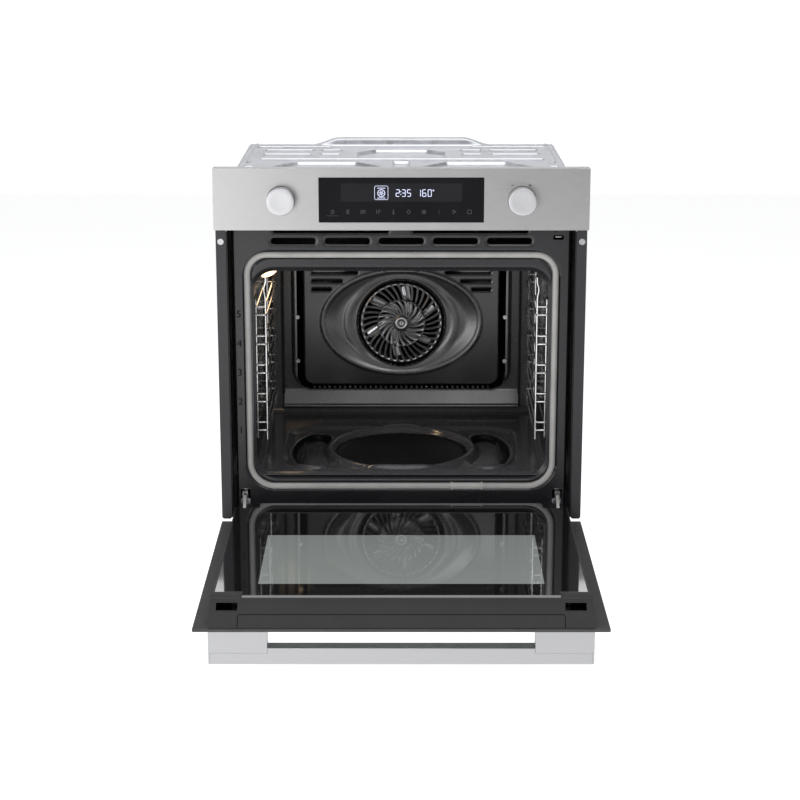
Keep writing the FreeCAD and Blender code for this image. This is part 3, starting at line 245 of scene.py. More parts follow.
LOOKS = {
    "panel": brushed("brushed_panel", (0.46, 0.455, 0.452), 0.33, (0.03, 1, 1.4), 0.12),
    "handle": brushed("satin_handle", (0.48, 0.48, 0.49), 0.46, (0.03, 1, 1.4), 0.08),
    "knob": brushed("satin_knob", (0.61, 0.61, 0.625), 0.42, (0.6, 1, 0.6), 0.04),
    "zinc": zinc("galvanised_sheet"),
    # The side sheets' front strip is painted near black as shade.
    "side": shaded_front(zinc("side_sheet"), 56.0, (0.004, 0.004, 0.004)),
    "spring": brushed("zinc_plated_steel", (0.56, 0.56, 0.55), 0.33, (1, 0.1, 1), 0.06),
    "frame": enamel("front_enamel", (0.014, 0.014, 0.0165), 0.26, 0.12, 1.58),
    "cavity": enamel("cavity_enamel", (0.010, 0.010, 0.011), 0.13, 0.30, 2.05),
    "cover": enamel("cover_enamel", (0.011, 0.011, 0.012), 0.19, 0.20, 1.75),
    # The fan cover's dish and outer margin, the rear wall and the floor take the cavity's dark enamel in
    # lighter copies: painted light where they show brighter.
    "dish": enamel("dish_enamel_painted_light", (0.050, 0.050, 0.053), 0.25, 0.20, 1.95),
    "rear": enamel("rear_enamel_painted_light", (0.052, 0.052, 0.056), 0.22, 0.20, 2.2),
    "band": enamel("rear_wall_enamel_painted_light", (0.045, 0.045, 0.049), 0.24, 0.20, 1.72),
    "pan": enamel("floor_enamel_painted_light", (0.110, 0.110, 0.117), 0.12, 0.20, 2.3),
    # Near-black painted shade for the floor's middle and the outer sides of its lobes.
    "floor_shade": enamel("floor_painted_shade", (0.006, 0.006, 0.006), 0.30, 0.20, 1.35),
    "gap": enamel("shadowed_gap", (0.002, 0.002, 0.002), 0.7, 0.1, 1.1),
    "trim": enamel("trim_paint", (0.028, 0.028, 0.031), 0.40, 0.08),
    "trim_plastic": plastic("door_trim_plastic", (0.026, 0.026, 0.027), 0.58, 0.12),
    "duct": enamel("duct_paint", (0.012, 0.012, 0.012), 0.55, 0.1),
    "black": plastic("black_moulding", (0.020, 0.020, 0.021), 0.45),
    "seal": plastic("seal_silicone", (0.46, 0.45, 0.435), 0.50, 0.35),
    "catch": brushed("catch_steel", (0.30, 0.30, 0.30), 0.36, (1, 0.1, 1), 0.06),
    "sleeve": plastic("seal_sleeve", (0.55, 0.54, 0.52), 0.40, 0.2),
    "fan": brushed("fan_steel", (0.66, 0.66, 0.67), 0.27, (1, 0.1, 1), 0.04),
    "element": brushed("element_tube", (0.16, 0.155, 0.15), 0.45, (1, 1, 1), 0.08),
    "caps": brushed("cap_metal", (0.50, 0.50, 0.51), 0.36, (1, 1, 1), 0.03),
    "board": plastic("circuit_board", (0.02, 0.10, 0.05), 0.35),
    "wool": plastic("mineral_wool", (0.50, 0.45, 0.33), 0.95, 0.9),
    "lamp": glowing("lamp_lens", (1.0, 0.74, 0.46), 2.2),
    "bulb": glowing("lamp_bulb_glass", (1.0, 0.80, 0.55), 3.0),
    "marks": glowing("display_light", (0.72, 0.75, 1.0), 0.55),
    "dim_marks": plastic("printed_icons", (0.075, 0.075, 0.08), 0.5),
    "ink": enamel("dark_print", (0.003, 0.003, 0.003), 0.8, 0.1, 1.1),
    # The grille, pressed in the cover's enamel, takes a bright metal colour: painted light for the sheen its
    # ribs catch.
    "grille": brushed("grille_enamel_painted_light", (0.46, 0.46, 0.47), 0.34, (1, 1, 1), 0.03),
    "panel_ink": plastic("panel_print", (0.06, 0.06, 0.065), 0.5),
}


def chrome():
    look = Look("chrome_wire", (0.85, 0.85, 0.86), 0.16, 1.0)
    look.tint(look.noise(35.0), [(0.35, (0.74, 0.72, 0.70)), (0.65, (0.92, 0.92, 0.93))])
    look.vary_rough(look.noise(700.0), 0.10, 0.24)
    look.bump(look.noise(500.0), 0.03, 0.0002)
    return look


def dark_glass(name, color, rough, amount):
    look = Look(name, color, rough)
    look.set("IOR", 1.28)
    look.tint(look.noise(20.0), spread(color, amount))
    return look


LOOKS["chrome"] = chrome()
LOOKS["display"] = dark_glass("display_black_glass", (0.010, 0.010, 0.012), 0.12, 0.1)
LOOKS["display"].vary_rough(LOOKS["display"].noise(12.0), 0.06, 0.13)
LOOKS["lit_area"] = dark_glass("display_lit_area", (0.020, 0.020, 0.023), 0.14, 0.08)
# The inner pane's window takes 0.72 of that painted light.
LOOKS["inner_pane"] = door_pane("inner_pane_print", (0.012, 0.012, 0.013), (0.74, 0.80, 0.77), 2.7,
                                (208.0, -383.0, -163.0), 0.72)
LOOKS["middle_pane"] = door_pane("middle_pane_clear", (0.02, 0.02, 0.02), (0.86, 0.90, 0.88), 1.35,
                                 (238.0, -424.0, -31.0))
LOOKS["outer_pane"] = door_pane("outer_pane_print", (0.080, 0.077, 0.076), (0.90, 0.93, 0.91), 1.3,
                                (232.0, -425.0, -12.0), border_ior=1.2, border_rough=0.55)

LOOK_NODES = {
    "zinc": "base_pan top_cover rear_panel convection_motor blower_housing blower_wheel hinge_receivers",
    "side": "right_side_panel left_side_panel",
    "black": "terminal_cover panel_carrier encoders",
    "trim": "right_side_trim left_side_trim right_door_profile left_door_profile door_bottom_rail",
    "spring": "casing_screws fan_cover_screws lamp_housing rack_studs temperature_probe left_spindle"
              " right_spindle lock_bolt hinge_arms hinge_channels handle_screws",
    "seal": "door_seal glass_pads",
    "cavity": "cavity_wrapper cavity_floor cavity_rear_wall fan_cover",
    "element": "ring_element grill_element bottom_element",
    "chrome": "right_side_rack left_side_rack",
    "knob": "left_knob right_knob",
    "catch": "right_hinge_catch left_hinge_catch",
    "frame": "front_frame", "caps": "fixing_caps", "bulb": "lamp_bulb", "lamp": "lamp_glass",
    "wool": "insulation", "fan": "convection_fan", "duct": "air_duct", "panel": "control_panel",
    "display": "display_glass", "board": "display_board", "trim_plastic": "door_top_trim",
    "outer_pane": "door_outer_glass", "middle_pane": "door_middle_glass",
    "inner_pane": "door_inner_glass",
    "handle": "handle_bar handle_brackets handle_end_caps",
}
for look_name, node_names in LOOK_NODES.items():
    for node_name in node_names.split():
        materials = NODES[node_name].data.materials
        materials.clear()
        materials.append(LOOKS[look_name].mat)

SOFT_EDGES = {
    0.20: "right_hinge_catch left_hinge_catch",
    0.30: "right_door_profile left_door_profile lock_bolt",
    0.35: "control_panel",
    0.40: "display_glass handle_end_caps terminal_cover hinge_arms",
    0.50: "right_side_trim left_side_trim handle_bar handle_brackets",
    0.60: "door_outer_glass door_inner_glass door_top_trim",
}


def soften(obj, width):
    """Rounds a CAD node's sharp edges a little, so that they catch the light."""
    assign(obj.modifiers.new("weld", "WELD"), merge_threshold=0.000005)
    assign(obj.modifiers.new("flat", "DECIMATE"), decimate_type="DISSOLVE", angle_limit=math.radians(0.5))
    assign(obj.modifiers.new("bevel", "BEVEL"), width=width / 1000.0, segments=2, limit_method="ANGLE",
           angle_limit=math.radians(35.0), harden_normals=True)


for edge_width, node_names in SOFT_EDGES.items():
    for node_name in node_names.split():
        soften(NODES[node_name], edge_width)


# --- mesh tools

def add(name, data):
    """A new object in the scene."""
    obj = bpy.data.objects.new(name, data)
    bpy.context.scene.collection.objects.link(obj)
    return obj


def make_piece(name, verts, faces, look, body, nodes, slot, smooth=35.0):
    """A finished mesh from millimetre points (x, depth, z), riding on a body."""
    points = np.asarray(verts, float)
    world = np.stack([points[:, 0], PANEL_Y + points[:, 1], points[:, 2]], 1) / 1000.0
    mesh = bpy.data.meshes.new(name)
    mesh.from_pydata(world.tolist(), [], [tuple(f) for f in faces])
    mesh.validate()
    work = bmesh.new()
    work.from_mesh(mesh)
    bmesh.ops.recalc_face_normals(work, faces=work.faces)
    work.to_mesh(mesh)
    work.free()
    mesh.shade_smooth()
    mesh.set_sharp_from_angle(angle=math.radians(smooth))
    mesh.materials.append(LOOKS[look].mat)
    obj = add(name, mesh)
    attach(obj, body)
    if nodes:
        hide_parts(*nodes)
    return obj


def ease(t):
    t = np.clip(t, 0.0, 1.0)
    return t * t * (3 - 2 * t)


def rounded_box(u, v, half_u, half_v, radius):
    """Signed distance to a rounded rectangle about the origin, negative inside."""
    qu = np.abs(u) - (half_u - radius)
    qv = np.abs(v) - (half_v - radius)
    outside = np.hypot(np.maximum(qu, 0), np.maximum(qv, 0))
    return outside + np.minimum(np.maximum(qu, qv), 0) - radius


def box_between(u, v, low, high, radius):
    """The same for a rectangle given by two corners."""
    cu, cv = (low[0] + high[0]) / 2, (low[1] + high[1]) / 2
    return rounded_box(u - cu, v - cv, (high[0] - low[0]) / 2, (high[1] - low[1]) / 2, radius)


def oval(u, v, half_u, half_v):
    """About the distance to an ellipse, negative inside."""
    ring = np.hypot(u / half_u, v / half_v)
    slope = np.hypot(u / half_u ** 2, v / half_v ** 2) / np.maximum(ring, 1e-6)
    return (ring - 1) / np.maximum(slope, 1e-6)


def polygon(u, v, corners):
    """Signed distance to a polygon, negative inside."""
    best = np.full(u.shape, 1e9)
    inside = np.zeros(u.shape, bool)
    count = len(corners)
    for k in range(count):
        au, av = corners[k]
        bu, bv = corners[(k + 1) % count]
        eu, ev = bu - au, bv - av
        t = np.clip(((u - au) * eu + (v - av) * ev) / (eu * eu + ev * ev), 0, 1)
        best = np.minimum(best, np.hypot(u - au - t * eu, v - av - t * ev))
        crosses = ((av > v) != (bv > v)) & (u < (bu - au) * (v - av) / (bv - av + 1e-12) + au)
        inside ^= crosses
    return np.where(inside, -best, best)


def bead(distance, half, soft):
    """Height 1 within half of a line, easing to 0 over soft."""
    return 1 - ease((np.abs(distance) - half) / soft)


def snapped(u, v, void, step, reach, flattest, arc=1.0):
    """Grid points within reach of a hole's edge moved onto it, and each point's distance then.

    arc is the length in millimetres of one unit of u.
    """
    distance = void(u, v)
    slope_u = (void(u + step / arc, v) - void(u - step / arc, v)) / (2 * step)
    slope_v = (void(u, v + step) - void(u, v - step)) / (2 * step)
    length = np.maximum(slope_u ** 2 + slope_v ** 2, flattest)
    near = np.abs(distance) < reach
    u = u - np.where(near, distance * slope_u / length / arc, 0)
    v = v - np.where(near, distance * slope_v / length, 0)
    return u, v, np.where(near, 0.0, distance)


def closed_sheet(name, front, back, quads, look, body, nodes, slot, smooth):
    """A sheet from the points of its two sides: quads on both and along every rim."""
    front, back = (np.stack(side, -1).reshape(-1, 3) for side in (front, back))
    count = len(front)
    edges = {}
    for a, b, c, d in quads:
        for pair in ((a, b), (b, c), (c, d), (d, a)):
            key = (min(pair), max(pair))
            edges[key] = None if key in edges else pair
    rim = [(b, a, a + count, b + count) for a, b in filter(None, edges.values())]
    faces = np.concatenate([quads, quads[:, ::-1] + count, np.asarray(rim)])
    used = np.unique(faces)
    lookup = np.full(2 * count, -1)
    lookup[used] = np.arange(len(used))
    points = np.concatenate([front, back])[used]
    return make_piece(name, points, lookup[faces].tolist(), look, body, nodes, slot, smooth)


def pressed(name, us, vs, place, height, look, nodes, slot, void=None, thick=1.0, smooth=35.0, zones=()):
    """A pressed sheet of the oven: a grid raised by height(u, v), with holes where void(u, v) < 0.

    place(u, v, h) gives the millimetre point (x, depth, z); thickness goes to -h.
    zones are (distance, look) pairs: faces where distance(u, v) < 0 take that look.
    """
    u, v = np.meshgrid(np.asarray(us, float), np.asarray(vs, float), indexing="ij")
    pitch = min(np.abs(np.diff(us)).min(), np.abs(np.diff(vs)).min())
    keep = np.ones((len(us) - 1, len(vs) - 1), bool)
    if void is not None:
        centre_u = (u[:-1, :-1] + u[1:, 1:]) / 2
        centre_v = (v[:-1, :-1] + v[1:, 1:]) / 2
        u, v, corner = snapped(u, v, void, 0.05 * pitch, 0.72 * pitch, 0.2)
        least = np.minimum.reduce([corner[:-1, :-1], corner[1:, :-1], corner[:-1, 1:], corner[1:, 1:]])
        keep = (void(centre_u, centre_v) > 0) & (least > -0.01 * pitch)
    h = height(u, v)
    index = np.arange(u.size).reshape(u.shape)
    quads = np.stack([index[:-1, :-1], index[1:, :-1], index[1:, 1:], index[:-1, 1:]], -1)[keep]
    piece = closed_sheet(name, place(u, v, h), place(u, v, h - thick), quads, look, "oven", nodes, slot,
                         smooth)
    marks = np.zeros(len(piece.data.polygons), np.int32)
    middle_u, middle_v = (u[:-1, :-1] + u[1:, 1:]) / 2, (v[:-1, :-1] + v[1:, 1:]) / 2
    for number, (distance, zone_look) in enumerate(zones, 1):
        piece.data.materials.append(LOOKS[zone_look].mat)
        inside = distance(middle_u, middle_v)[keep] < 0
        marks[:len(inside)][inside] = number
    piece.data.polygons.foreach_set("material_index", marks)


def loop_faces(count, total, closed=True):
    """Quads between total rings of count points; closed joins the last ring to the first."""
    faces = []
    for s in range(total if closed else total - 1):
        n = (s + 1) % total
        for k in range(count):
            m = (k + 1) % count
            faces.append((s * count + k, s * count + m, n * count + m, n * count + k))
    return faces


def prism_faces(count):
    """The ends and sides between an outline of count points and its copy."""
    sides = [(k, (k + 1) % count, (k + 1) % count + count, k + count) for k in range(count)]
    return [tuple(range(count)), tuple(range(2 * count - 1, count - 1, -1))] + sides


def lathe(name, profile, centre, look, body, nodes, slot, sides=96, smooth=30.0):
    """A closed profile of (radius, depth) turned round the axis through centre (x, z)."""
    verts = []
    for s in range(sides):
        a = 2 * math.pi * s / sides
        verts += [(centre[0] + radius * math.cos(a), depth, centre[1] + radius * math.sin(a))
                  for radius, depth in profile]
    make_piece(name, verts, loop_faces(len(profile), sides), look, body, nodes, slot, smooth)


def tube_points(path, radius, sides=10):
    """Rings of points along a smooth path, with the faces of a capped tube."""
    path = [Vector(p) for p in path]
    verts = []
    normal = None
    for i, p in enumerate(path):
        ahead = path[min(i + 1, len(path) - 1)] - path[max(i - 1, 0)]
        ahead.normalize()
        if normal is None:
            normal = ahead.orthogonal().normalized()
        normal = (normal - ahead * normal.dot(ahead)).normalized()
        side = ahead.cross(normal)
        for s in range(sides):
            a = 2 * math.pi * s / sides
            verts.append(p + normal * (radius * math.cos(a)) + side * (radius * math.sin(a)))
    faces = loop_faces(sides, len(path), False)
    last = (len(path) - 1) * sides
    faces.append(tuple(range(sides))[::-1])
    faces.append(tuple(last + s for s in range(sides)))
    return [tuple(v) for v in verts], faces


def bent(points, radius):
    """Rounds the corners of a path of straight runs."""
    steps = 6
    spots = [Vector(p) for p in points]
    path = [spots[0]]
    for before, corner, after in zip(spots, spots[1:], spots[2:]):
        back, ahead = before - corner, after - corner
        reach = min(radius, back.length * 0.49, ahead.length * 0.49)
        start = corner + back.normalized() * reach
        end = corner + ahead.normalized() * reach
        for k in range(steps + 1):
            t = k / steps
            path.append(start.lerp(corner, t).lerp(corner.lerp(end, t), t))
    path.append(spots[-1])
    return path


def gather(parts):
    """One mesh's points and faces from several."""
    verts, faces = [], []
    for some_verts, some_faces in parts:
        start = len(verts)
        verts += list(some_verts)
        faces += [tuple(start + i for i in f) for f in some_faces]
    return verts, faces


def plate(outline, depth, thick):
    """A flat shape facing front: points (x, z) given a small thickness."""
    verts = [(x, depth, z) for x, z in outline] + [(x, depth + thick, z) for x, z in outline]
    return verts, prism_faces(len(outline))


# --- front frame and seal

FRAME_DEPTH = 50.0
MOUTH = ((-239.0, 76.0), (239.0, 420.0))


def mouth_distance(x, z):
    return box_between(x, z, MOUTH[0], MOUTH[1], 34.0)


def vents(x, z):
    """Distance to the nearest air slot, negative inside."""
    slots = [rounded_box(x - 87.0 * k, z - 469.8, 36.4, 5.4, 5.2) for k in range(-2, 3)]
    for left, right in ((-210, -15.5), (13.5, 209)):
        slots.append(polygon(x, z, [(left, 493), (left + 6, 482.6), (right - 6, 482.6), (right, 493)]))
    return np.minimum.reduce(slots)


def frame_void(x, z):
    """Mouth, air slots, the lock's slot, a pin hole and the hinge slots."""
    lock = box_between(x, z, (244.2, 472.0), (261.2, 479.6), 1.5)
    pin = np.hypot(x - 248.0, z - 485.4) - 1.4
    hinges = box_between(np.abs(x), z, (251.0, 26.0), (267.0, 54.0), 2.5)
    return np.minimum.reduce([vents(x, z), mouth_distance(x, z), lock, pin, hinges])


def frame_height(x, z):
    """Forward of the frame's plane: rolled edges, a rolled-in mouth, dished slots."""
    edge = -rounded_box(x, z - 253.0, 273.0, 245.0, 3.0)
    roll = -4.0 * (1 - ease(edge / 3.0))
    inward = -6.5 * (1 - ease(mouth_distance(x, z) / 9.0)) ** 1.3
    dish = -0.9 * (1 - ease(vents(x, z) / 3.5))
    beside_seal = np.abs(box_between(x, z, (-249.5, 58.6), (249.5, 447.7), 39.0)) - 5.0
    groove = -1.5 * bead(beside_seal - 0.6, 0.5, 1.2)
    return roll + inward + dish + groove


pressed("front_frame_sheet", np.arange(-273.0, 273.1, 1.75), np.arange(8.0, 498.1, 1.75),
        lambda x, z, h: (x, FRAME_DEPTH - h, z), frame_height, "frame", ["front_frame"], "frame_enamel",
        frame_void, 1.1)


def rounded_path(low, high, radius_low, radius_high):
    """Points and outward normals round a rectangle with rounded corners."""
    points = []
    corners = [((high[0], low[1]), radius_low, -90), ((high[0], high[1]), radius_high, 0),
               ((low[0], high[1]), radius_high, 90), ((low[0], low[1]), radius_low, 180)]
    for (cx, cz), r, start in corners:
        mx = cx - math.copysign(r, cx)
        mz = cz - r if cz == high[1] else cz + r
        steps = max(6, int(r * math.pi / 2 / 3.0))
        for k in range(steps + 1):
            a = math.radians(start + 90 * k / steps)
            points.append((mx + r * math.cos(a), mz + r * math.sin(a), math.cos(a), math.sin(a)))
    return points


def seal_ring(profile, stations):
    """Points of a section (outward, forward) at each of the stations."""
    return [(x + nx * out, FRAME_DEPTH - forward, z + nz * out)
            for x, z, nx, nz in stations for out, forward in profile]


def door_seal():
    """A rope round the mouth, with a sleeve over its joint at the bottom."""
    half = 5.0
    turns = [math.pi * k / 12 for k in range(13)]
    arch = [(half * math.cos(a), 5.3 * math.sin(a)) for a in turns]
    section = [(half - 0.4, -0.9), *arch, (0.4 - half, -0.9)]
    low = (-254.5 + half, 53.6 + half)
    high = (254.5 - half, 452.7 - half)
    stations = rounded_path(low, high, 41.0, 32.0)
    make_piece("door_seal_rope", seal_ring(section, stations), loop_faces(len(section), len(stations)),
               "seal", "oven", ["door_seal"], "seal_rubber", 60.0)
    parts = []
    for start, end, swell in ((83.0, 134.0, 0.45), (82.0, 85.0, 1.7), (132.0, 135.0, 1.7)):
        rise = min(swell, 0.2)
        wide = [(out * (1 + swell / half), forward + rise if forward > 0 else 0.0)
                for out, forward in section]
        sleeve = [(start, low[1], 0.0, -1.0), (end, low[1], 0.0, -1.0)]
        parts.append((seal_ring(wide, sleeve), prism_faces(len(wide))))
    make_piece("seal_joint_sleeve", *gather(parts), "sleeve", "oven", (), "seal_rubber", 40.0)


door_seal()


# --- cavity

CAVITY_HALF = 243.0
CAVITY_LOW = 80.0
CAVITY_HIGH = 428.0
CAVITY_REAR = 455.0
LAMP = (300.0, 389.0)
FAN_Z = 252.0
FLOOR_DISH = 214.0


def wall_profile():
    """Points and inward normals up the left wall, over the roof and down the right."""
    radius = 16.0
    low = CAVITY_LOW - 1.0
    runs = [(-CAVITY_HALF, z, 1.0, 0.0) for z in np.arange(low, CAVITY_HIGH - radius, 3.0)]
    for k in range(9):
        a = math.pi * (1 - 0.5 * k / 8)
        cx, cz = -CAVITY_HALF + radius, CAVITY_HIGH - radius
        runs.append((cx + radius * math.cos(a), cz + radius * math.sin(a), -math.cos(a), -math.sin(a)))
    roof = np.linspace(-CAVITY_HALF + radius, CAVITY_HALF - radius, 60)[1:-1]
    mirrored = [(-x, z, -nx, nz) for x, z, nx, nz in runs[::-1]]
    return np.asarray([*runs, *((x, CAVITY_HIGH, 0.0, -1.0) for x in roof), *mirrored])


def cavity_shell():
    table = wall_profile()
    step = np.hypot(np.diff(table[:, 0]), np.diff(table[:, 1]))
    lengths = np.concatenate([[0.0], np.cumsum(step)])

    def along(s):
        return [np.interp(s, lengths, column) for column in table.T]

    def place(d, s, h):
        x, z, nx, nz = along(s)
        return x + nx * h, d, z + nz * h

    def height(d, s):
        x, z = along(s)[:2]
        side = np.abs(np.abs(x) - CAVITY_HALF) < 1.0
        field = box_between(d, z, (96.0, 112.0), (336.0, 384.0), 26.0)
        press = -2.2 * (1 - ease((field + 7) / 9.0))
        ribs = 1.2 * bead(z - 122.0, 2.0, 4.0) * (field < 0)
        front = 1.6 * bead(d - 58.0, 1.0, 4.0)
        return np.where(side, press + ribs, 0.0) + front

    def void(d, s):
        x, z = along(s)[:2]
        lamp = np.hypot(d - LAMP[0], z - LAMP[1]) - 25.0
        return np.where(x < 0, lamp, 99.0)

    depths = np.arange(52.0, CAVITY_REAR + 0.1, 3.1)
    pressed("cavity_walls", depths, lengths, place, height, "cavity", ["cavity_wrapper"],
            "cavity_enamel", void)


cavity_shell()


def floor_lobe(x, d):
    """Outline of the pressed lobe on each side of the floor's middle."""
    return oval(np.abs(x) - 146.0, d - 190.0, 44.0, 108.0)


def floor_height(x, d):
    field = box_between(x, d, (-200.0, 86.0), (200.0, 350.0), 58.0)
    sunk = -5.0 * (1 - ease((field + 12) / 14.0))
    round_field = oval(x, d - FLOOR_DISH, 132.0, 139.0)
    ring = 7.5 * bead(round_field + 9.0, 2.0, 10.0)
    dish = -4.5 * (1 - ease((round_field + 26) / 12.0))
    lobe = floor_lobe(x, d)
    side = 6.0 * bead(lobe, 1.0, 8.0) - 5.0 * (1 - ease((lobe + 14.0) / 12.0))
    sill = 2.0 * bead(d - 63.0, 1.5, 5.0)
    wall = 7.0 * (1 - ease((CAVITY_HALF - np.abs(x)) / 9.0))
    back = 9.0 * (1 - ease((CAVITY_REAR - d) / 11.0))
    clear = ease((round_field + 4.0) / 10.0)
    return sunk + ring + dish + side * clear + sill + np.maximum(wall, back)


def floor_painted_shade(x, d):
    """Where shade is painted near black: the deep middle of the floor and the shaded outer side of its two
    lobes.
    """
    far_or_outer = np.minimum(162.0 - np.abs(x), 235.0 - d)
    shaded = np.maximum(np.abs(floor_lobe(x, d) + 9.0) - 6.5, far_or_outer)
    shaded = np.maximum(shaded, -oval(x, d - FLOOR_DISH, 136.0, 143.0))
    return np.minimum(oval(x, d - FLOOR_DISH, 113.0, 117.0), shaded)


pressed("cavity_floor_pressing", np.arange(-243.0, 243.1, 2.0), np.arange(51.5, 454.8, 2.0),
        lambda x, d, h: (x, d, CAVITY_LOW - 2.0 + h), floor_height, "pan", ["cavity_floor"],
        "cavity_enamel", smooth=60.0, zones=[(floor_painted_shade, "floor_shade")])


def rear_height(x, z):
    corner = 8.0 * (1 - ease((CAVITY_HALF - np.abs(x)) / 10.0))
    side = ease((220.0 - np.abs(x)) / 4.0)
    slope = 13.0 * np.clip((122.0 - z) / 30.0, 0, 1)
    under = ease((z - 88.0) / 2.4)
    return corner + (4.0 + slope + 1.6 * bead(z - 92.5, 0.8, 1.6)) * side * under


def ahead_of_rear(x, z, h):
    return x, CAVITY_REAR - h, z


pressed("cavity_rear_pressing", np.arange(-244.0, 244.1, 2.0), np.arange(79.0, 429.1, 2.0), ahead_of_rear,
        rear_height, "band", ["cavity_rear_wall"], "cavity_enamel",
        lambda x, z: np.hypot(x, z - FAN_Z) - 12.0, smooth=60.0)


# --- fan cover

GRILLE_RADIUS = 73.0
DISH_Z = 254.0
CHANNEL = 6.4
FAN_RING = 76.5


def cover_outline(x, z):
    """Outer edge: square at the top, large corners at the bottom."""
    low = box_between(x, z, (-204.0, 119.0), (204.0, 520.0), 42.0)
    return np.maximum(low, z - 408.0)


def inner_outline(x, z):
    low = box_between(x, z, (-178.0, 137.0), (178.0, 520.0), 17.0)
    return np.maximum(low, z - 399.0)


def cover_slots(x, z):
    return np.minimum.reduce([
        box_between(np.abs(x), z, (start, row - 2.7), (163.0, row + 2.7), 2.5)
        for row, start in ((345.0, 79.0), (329.0, 107.0), (313.8, 127.0))])


def cover_dots(x, z):
    pitch = 9.4
    along = (x + pitch / 2) % pitch - pitch / 2
    dots = np.hypot(along, z - 129.5) - 2.3
    return np.where(np.abs(x) < 166.0, dots, 99.0)


def cover_void(x, z):
    hole = np.hypot(x, z - FAN_Z) - GRILLE_RADIUS
    return np.minimum.reduce([hole, cover_slots(x, z), -cover_outline(x, z)])


def cover_height(x, z):
    rim = 26.0 * ease(-cover_outline(x, z) / 9.0)
    inner = inner_outline(x, z)
    groove = -16.0 * bead(inner - CHANNEL, 4.6, 1.6)
    lift = 4.0 * ease((1.5 - inner) / 3.0)
    wide = oval(x, z - DISH_Z, 142.0, 94.0)
    dish = -6.0 * ease((4.0 - wide) / 32.0)
    lip = 1.2 * bead(wide - 1.0, 1.0, 6.0)
    near = oval(x, z - FAN_Z, 98.0, 81.0)
    step = 1.3 * bead(near, 1.2, 9.0)
    reach = np.hypot(x, z - FAN_Z)
    plateau = 6.0 * ease((82.0 - reach) / 4.0) - 4.5 * bead(reach - FAN_RING, 1.4, 1.4)
    edge = -0.8 * (1 - ease(cover_slots(x, z) / 2.5))
    tabs = 12.0 * (1 - ease(cover_dots(x, z) / 1.4))
    return rim + groove + lift + dish + lip + step + plateau + edge + tabs


def cover_shadow(x, z):
    """The deep channel round the middle, apart from its spacer dots, and the fan ring."""
    channel = np.maximum(np.abs(inner_outline(x, z) - CHANNEL) - 5.6, 0.3 - cover_dots(x, z))
    return np.minimum(channel, np.abs(np.hypot(x, z - FAN_Z) - FAN_RING) - 2.2)


pressed("fan_cover_pressing", np.arange(-204.0, 204.1, 1.5), np.arange(119.0, 408.1, 1.5), ahead_of_rear,
        cover_height, "cover", ["fan_cover"], "cavity_enamel", cover_void, smooth=60.0,
        zones=[(lambda x, z: oval(x, z - DISH_Z, 145.0, 97.0), "dish"),
               (lambda x, z: -1.0 - inner_outline(x, z), "rear"), (cover_shadow, "gap")])


# Rings of slots: inner and outer radius, number, lean in radians, open share.
GRILLE_RINGS = ((44.0, 70.5, 36, 0.175, 0.64), (15.0, 40.5, 22, 0.42, 0.36))


def grille_distance(angle, radius):
    """Distance to the nearest slanting slot in millimetres, negative inside."""
    nearest = np.full(angle.shape, 1e9)
    for inner, outer, count, lean, share in GRILLE_RINGS:
        turned = angle - lean * (radius - inner) / (outer - inner)
        pitch = 2 * math.pi / count
        local = ((turned + pitch / 2) % pitch - pitch / 2) * radius
        half = share * math.pi * radius / count
        slot = rounded_box(local, radius - (inner + outer) / 2, half, (outer - inner) / 2,
                           np.minimum(half, 3.0))
        nearest = np.minimum(nearest, slot)
    return nearest


def grille():
    """Two rings of slanting ribs round a hub, over the hole in the cover."""
    lift = 29.4

    def height(angle, radius):
        rise = 2.8 * ease(grille_distance(angle, radius) / 2.4) * (1.0 - ease((radius - 68.0) / 6.0))
        rings = 1.0 * bead(radius - 42.2, 0.8, 1.6) + 1.6 * bead(radius - 9.0, 0.8, 3.6)
        return lift + rise + rings - 2.2 * bead(radius - 2.5, 0.8, 3.4)

    def place(angle, radius, h):
        return radius * np.cos(angle), CAVITY_REAR - h, FAN_Z + radius * np.sin(angle)

    turns = 720
    radii = np.arange(1.5, GRILLE_RADIUS + 1.1, 0.75)
    u, v = np.meshgrid(np.arange(turns) * 2 * math.pi / turns, radii, indexing="ij")
    u, v, kept = snapped(u, v, grille_distance, 0.02, 0.5, 0.3, v)
    following = np.roll(kept, -1, 0)
    least = np.minimum.reduce([kept[:, :-1], kept[:, 1:], following[:, :-1], following[:, 1:]])
    keep = least > -0.01
    h = height(u, v)
    index = np.arange(u.size).reshape(u.shape)
    after = np.roll(index, -1, 0)
    quads = np.stack([index[:, :-1], after[:, :-1], after[:, 1:], index[:, 1:]], -1)[keep]
    closed_sheet("fan_grille", place(u, v, h), place(u, v, h - 2.2), quads, "grille", "oven", (),
                 "cavity_enamel", 45.0)


